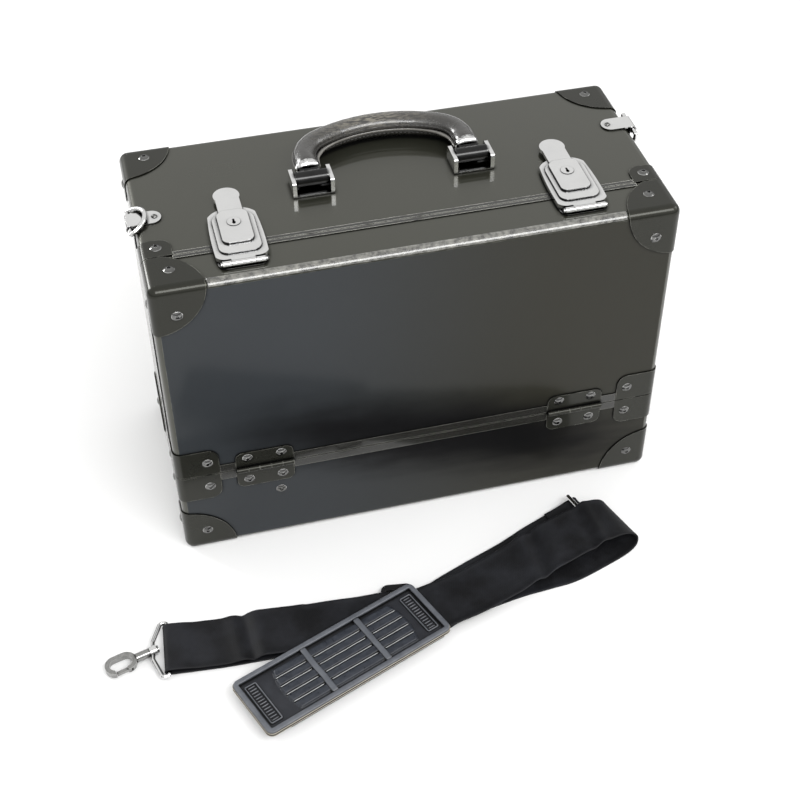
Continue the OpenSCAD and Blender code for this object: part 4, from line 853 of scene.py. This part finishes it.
# sections of its rails, as distance inward from the outline and height
rimProfile = ((0.0, -3.4), (-0.2, -0.6), (0.2, -0.15), (0.9, 0.0), (3.0, 0.0), (3.7, -0.2), (3.95, -0.7),
              (4.0, -3.4))
barProfile = ((-2.5, -3), (-2.4, -0.6), (-1.9, -0.1), (-1, 0), (1, 0), (1.9, -0.1), (2.4, -0.6), (2.5, -3))
fieldProfile = ((0, -0.2), (0.05, 0.9), (0.35, 1.2), (0.8, 1.2), (1.1, 0.9), (1.15, -0.2))


def roundedRect(length, width, radius, count):
    points = []
    for cx, cy, start in ((1, 1, 0), (-1, 1, 90), (-1, -1, 180), (1, -1, 270)):
        for i in range(count + 1):
            a = math.radians(start + 90 * i / count)
            points.append((cx * (length / 2 - radius) + radius * math.cos(a),
                           cy * (width / 2 - radius) + radius * math.sin(a)))
    return points


def roundedBlock(bm, length, width, radius, levels, count, aside=(0.0, 0.0)):
    rings = []
    for inset, z in levels:
        outline = roundedRect(length - 2 * inset, width - 2 * inset, radius, count)
        rings.append([Vector((x + aside[0], y + aside[1], z)) for x, y in outline])
    sweep(bm, rings)


def rail(bm, outline, profile, z, along=0.0, sag=0.0):  # a closed bar that follows an outline
    rings = []
    for i, (x, y) in enumerate(outline):
        ahead = Vector(outline[(i + 1) % len(outline)]) - Vector(outline[i - 1])
        inward = Vector((-ahead.y, ahead.x)).normalized()
        drop = sag * ripple(x / 25, y / 25, 8)
        rings.append([Vector((along + x + inward.x * a, y + inward.y * a, z + b + (drop if b > -3 else 0)))
                      for a, b in profile])
    sweep(bm, rings, loop=True)


def inRibs(x, y):
    return math.hypot(x - pad["ribCentre"], y) < pad["ribReach"] and abs(y) < pad["ribHalf"]


def padHeight(x, y):
    high = pad["plate"] + pad["wave"] * ripple(x / 30, y / 20, 2)
    reach = math.hypot(x - pad["ribCentre"], y)
    inside = max(0.0, min(1.0, (pad["ribReach"] - reach) / pad["ribEnd"]))
    lane = abs(math.remainder(y, pad["ribStep"]))
    rib = max(0.0, min(1.0, (pad["ribWide"] - lane) / pad["ribSlope"]))
    rib = rib * rib * (3 - 2 * rib)
    if abs(y) < pad["ribHalf"]:
        rough = 1 + pad["ribRough"] * ripple(x / 6, y / 3, 5)
        high += pad["ribTall"] * rib * inside * rough
    return high


bm = bmesh.new()
columns, rows = pad["columns"], pad["rows"]
halfLength, halfWidth = pad["length"] / 2 - pad["inset"], pad["width"] / 2 - pad["inset"]
acrossPad = [halfWidth * (2 * j / rows - 1) for j in range(rows + 1)]
alongPad = [halfLength * (2 * i / columns - 1) for i in range(columns + 1)]
grid = [[bm.verts.new((x, y, padHeight(x, y))) for y in acrossPad] for x in alongPad]
for i in range(columns):
    for j in range(rows):
        bm.faces.new((grid[i][j], grid[i + 1][j], grid[i + 1][j + 1], grid[i][j + 1]))
low, plate = pad["low"], pad["plate"]
roundedBlock(bm, pad["length"] - 0.4, pad["width"] - 0.4, 4,
             ((0.6, low), (0.15, low + 0.25), (0.0, low + 0.8), (0.0, plate - 0.4)), 8)
padPlate = newPiece("padPlate", bm, "darkRubber", "strap", padMatrix, ["shoulder_pad"])
padPlate.data.materials.append(materials["ribRubber"])
for face in padPlate.data.polygons:
    x, y, _ = padMatrix.inverted() @ (face.center / mm)
    face.material_index = int(inRibs(x, y))

bm = bmesh.new()
rail(bm, roundedRect(pad["length"], pad["width"], 5, 10), rimProfile, pad["rimTop"], sag=0.18)
for bar in pad["bars"]:
    rings = []
    for i in range(25):
        y = pad["barHalf"] * (i / 12 - 1)
        bow = pad["barWave"] * ripple(bar, y / 14, 3)
        rings.append([Vector((bar + bow + a, y, pad["rimTop"] - pad["barDrop"] + b)) for a, b in barProfile])
    sweep(bm, rings)
for middle in (-pad["fieldAt"], pad["fieldAt"]):
    rail(bm, roundedRect(*pad["field"], 5), fieldProfile, plate, along=middle)
    for n in range(pad["fieldBars"]):
        y = (n - pad["fieldBars"] // 2) * pad["fieldStep"]
        rings = []
        for i in range(7):
            x = middle + pad["fieldReach"] * (i / 3 - 1)
            wide, tall = pad["fieldBar"] if 0 < i < 6 else pad["fieldTip"]
            rings.append([Vector((x, y + wide * math.cos(k * math.pi / 5),
                                  plate - 0.2 + tall * math.sin(k * math.pi / 5))) for k in range(6)])
        sweep(bm, rings)
newPiece("padFrame", bm, "greyRubber", "strap", padMatrix)

padCord = {"above": 0.75, "radius": 0.5, "tip": 0.2, "points": 30, "inside": 0.6, "wobble": 0.2}
bm = bmesh.new()
circle = [(math.cos(k * math.tau / 8), math.sin(k * math.tau / 8)) for k in range(8)]
for lane in pad["lanes"]:
    for start, end in pad["runs"]:
        points = []
        for i in range(padCord["points"]):
            x = start + (end - start) * i / (padCord["points"] - 1)
            if math.hypot(x - pad["ribCentre"], lane) < pad["ribReach"] - padCord["inside"]:
                y = lane + padCord["wobble"] * ripple(x / 9, lane, 1)
                points.append(Vector((x, y, padHeight(x, lane) + padCord["above"])))
        rings = []
        for i, point in enumerate(points):
            radius = padCord["radius"] if 0 < i < len(points) - 1 else padCord["tip"]
            rings.append([point + Vector((0, c, s)) * radius for c, s in circle])
        sweep(bm, rings)
newPiece("padLines", bm, "paleRubber", "strap", padMatrix)

piping = {"radius": 0.5, "heights": (12.5, 14.9), "out": 0.5, "corner": 5.1}
bm = bmesh.new()
outline = roundedRect(pad["length"] + piping["out"], pad["width"] + piping["out"], piping["corner"], 10)
for z in piping["heights"]:
    rail(bm, outline, [(piping["radius"] * c, piping["radius"] * s) for c, s in circle], z)
newPiece("padPiping", bm, "beigeRubber", "strap", padMatrix)

padBack = {"length": 144.5, "width": 53, "corner": 3.5, "along": 6.25, "lipAt": 25.1, "lipWidth": 2.8,
           "lipCorner": 1.1, "levels": ((0.5, 8.25), (0.0, 8.5), (0.0, 9.6), (0.4, 9.8)),
           "lipLevels": ((0.0, 9.5), (0.0, 11.5), (0.25, 11.75))}
bm = bmesh.new()
roundedBlock(bm, padBack["length"], padBack["width"], padBack["corner"], padBack["levels"], 6,
             (padBack["along"], 0.0))
for y in (-padBack["lipAt"], padBack["lipAt"]):
    roundedBlock(bm, padBack["length"], padBack["lipWidth"], padBack["lipCorner"], padBack["lipLevels"], 4,
                 (padBack["along"], y))
newPiece("padBack", bm, "darkRubber", "strap", padMatrix, ["pad_back_plate"])
print("pad ready")
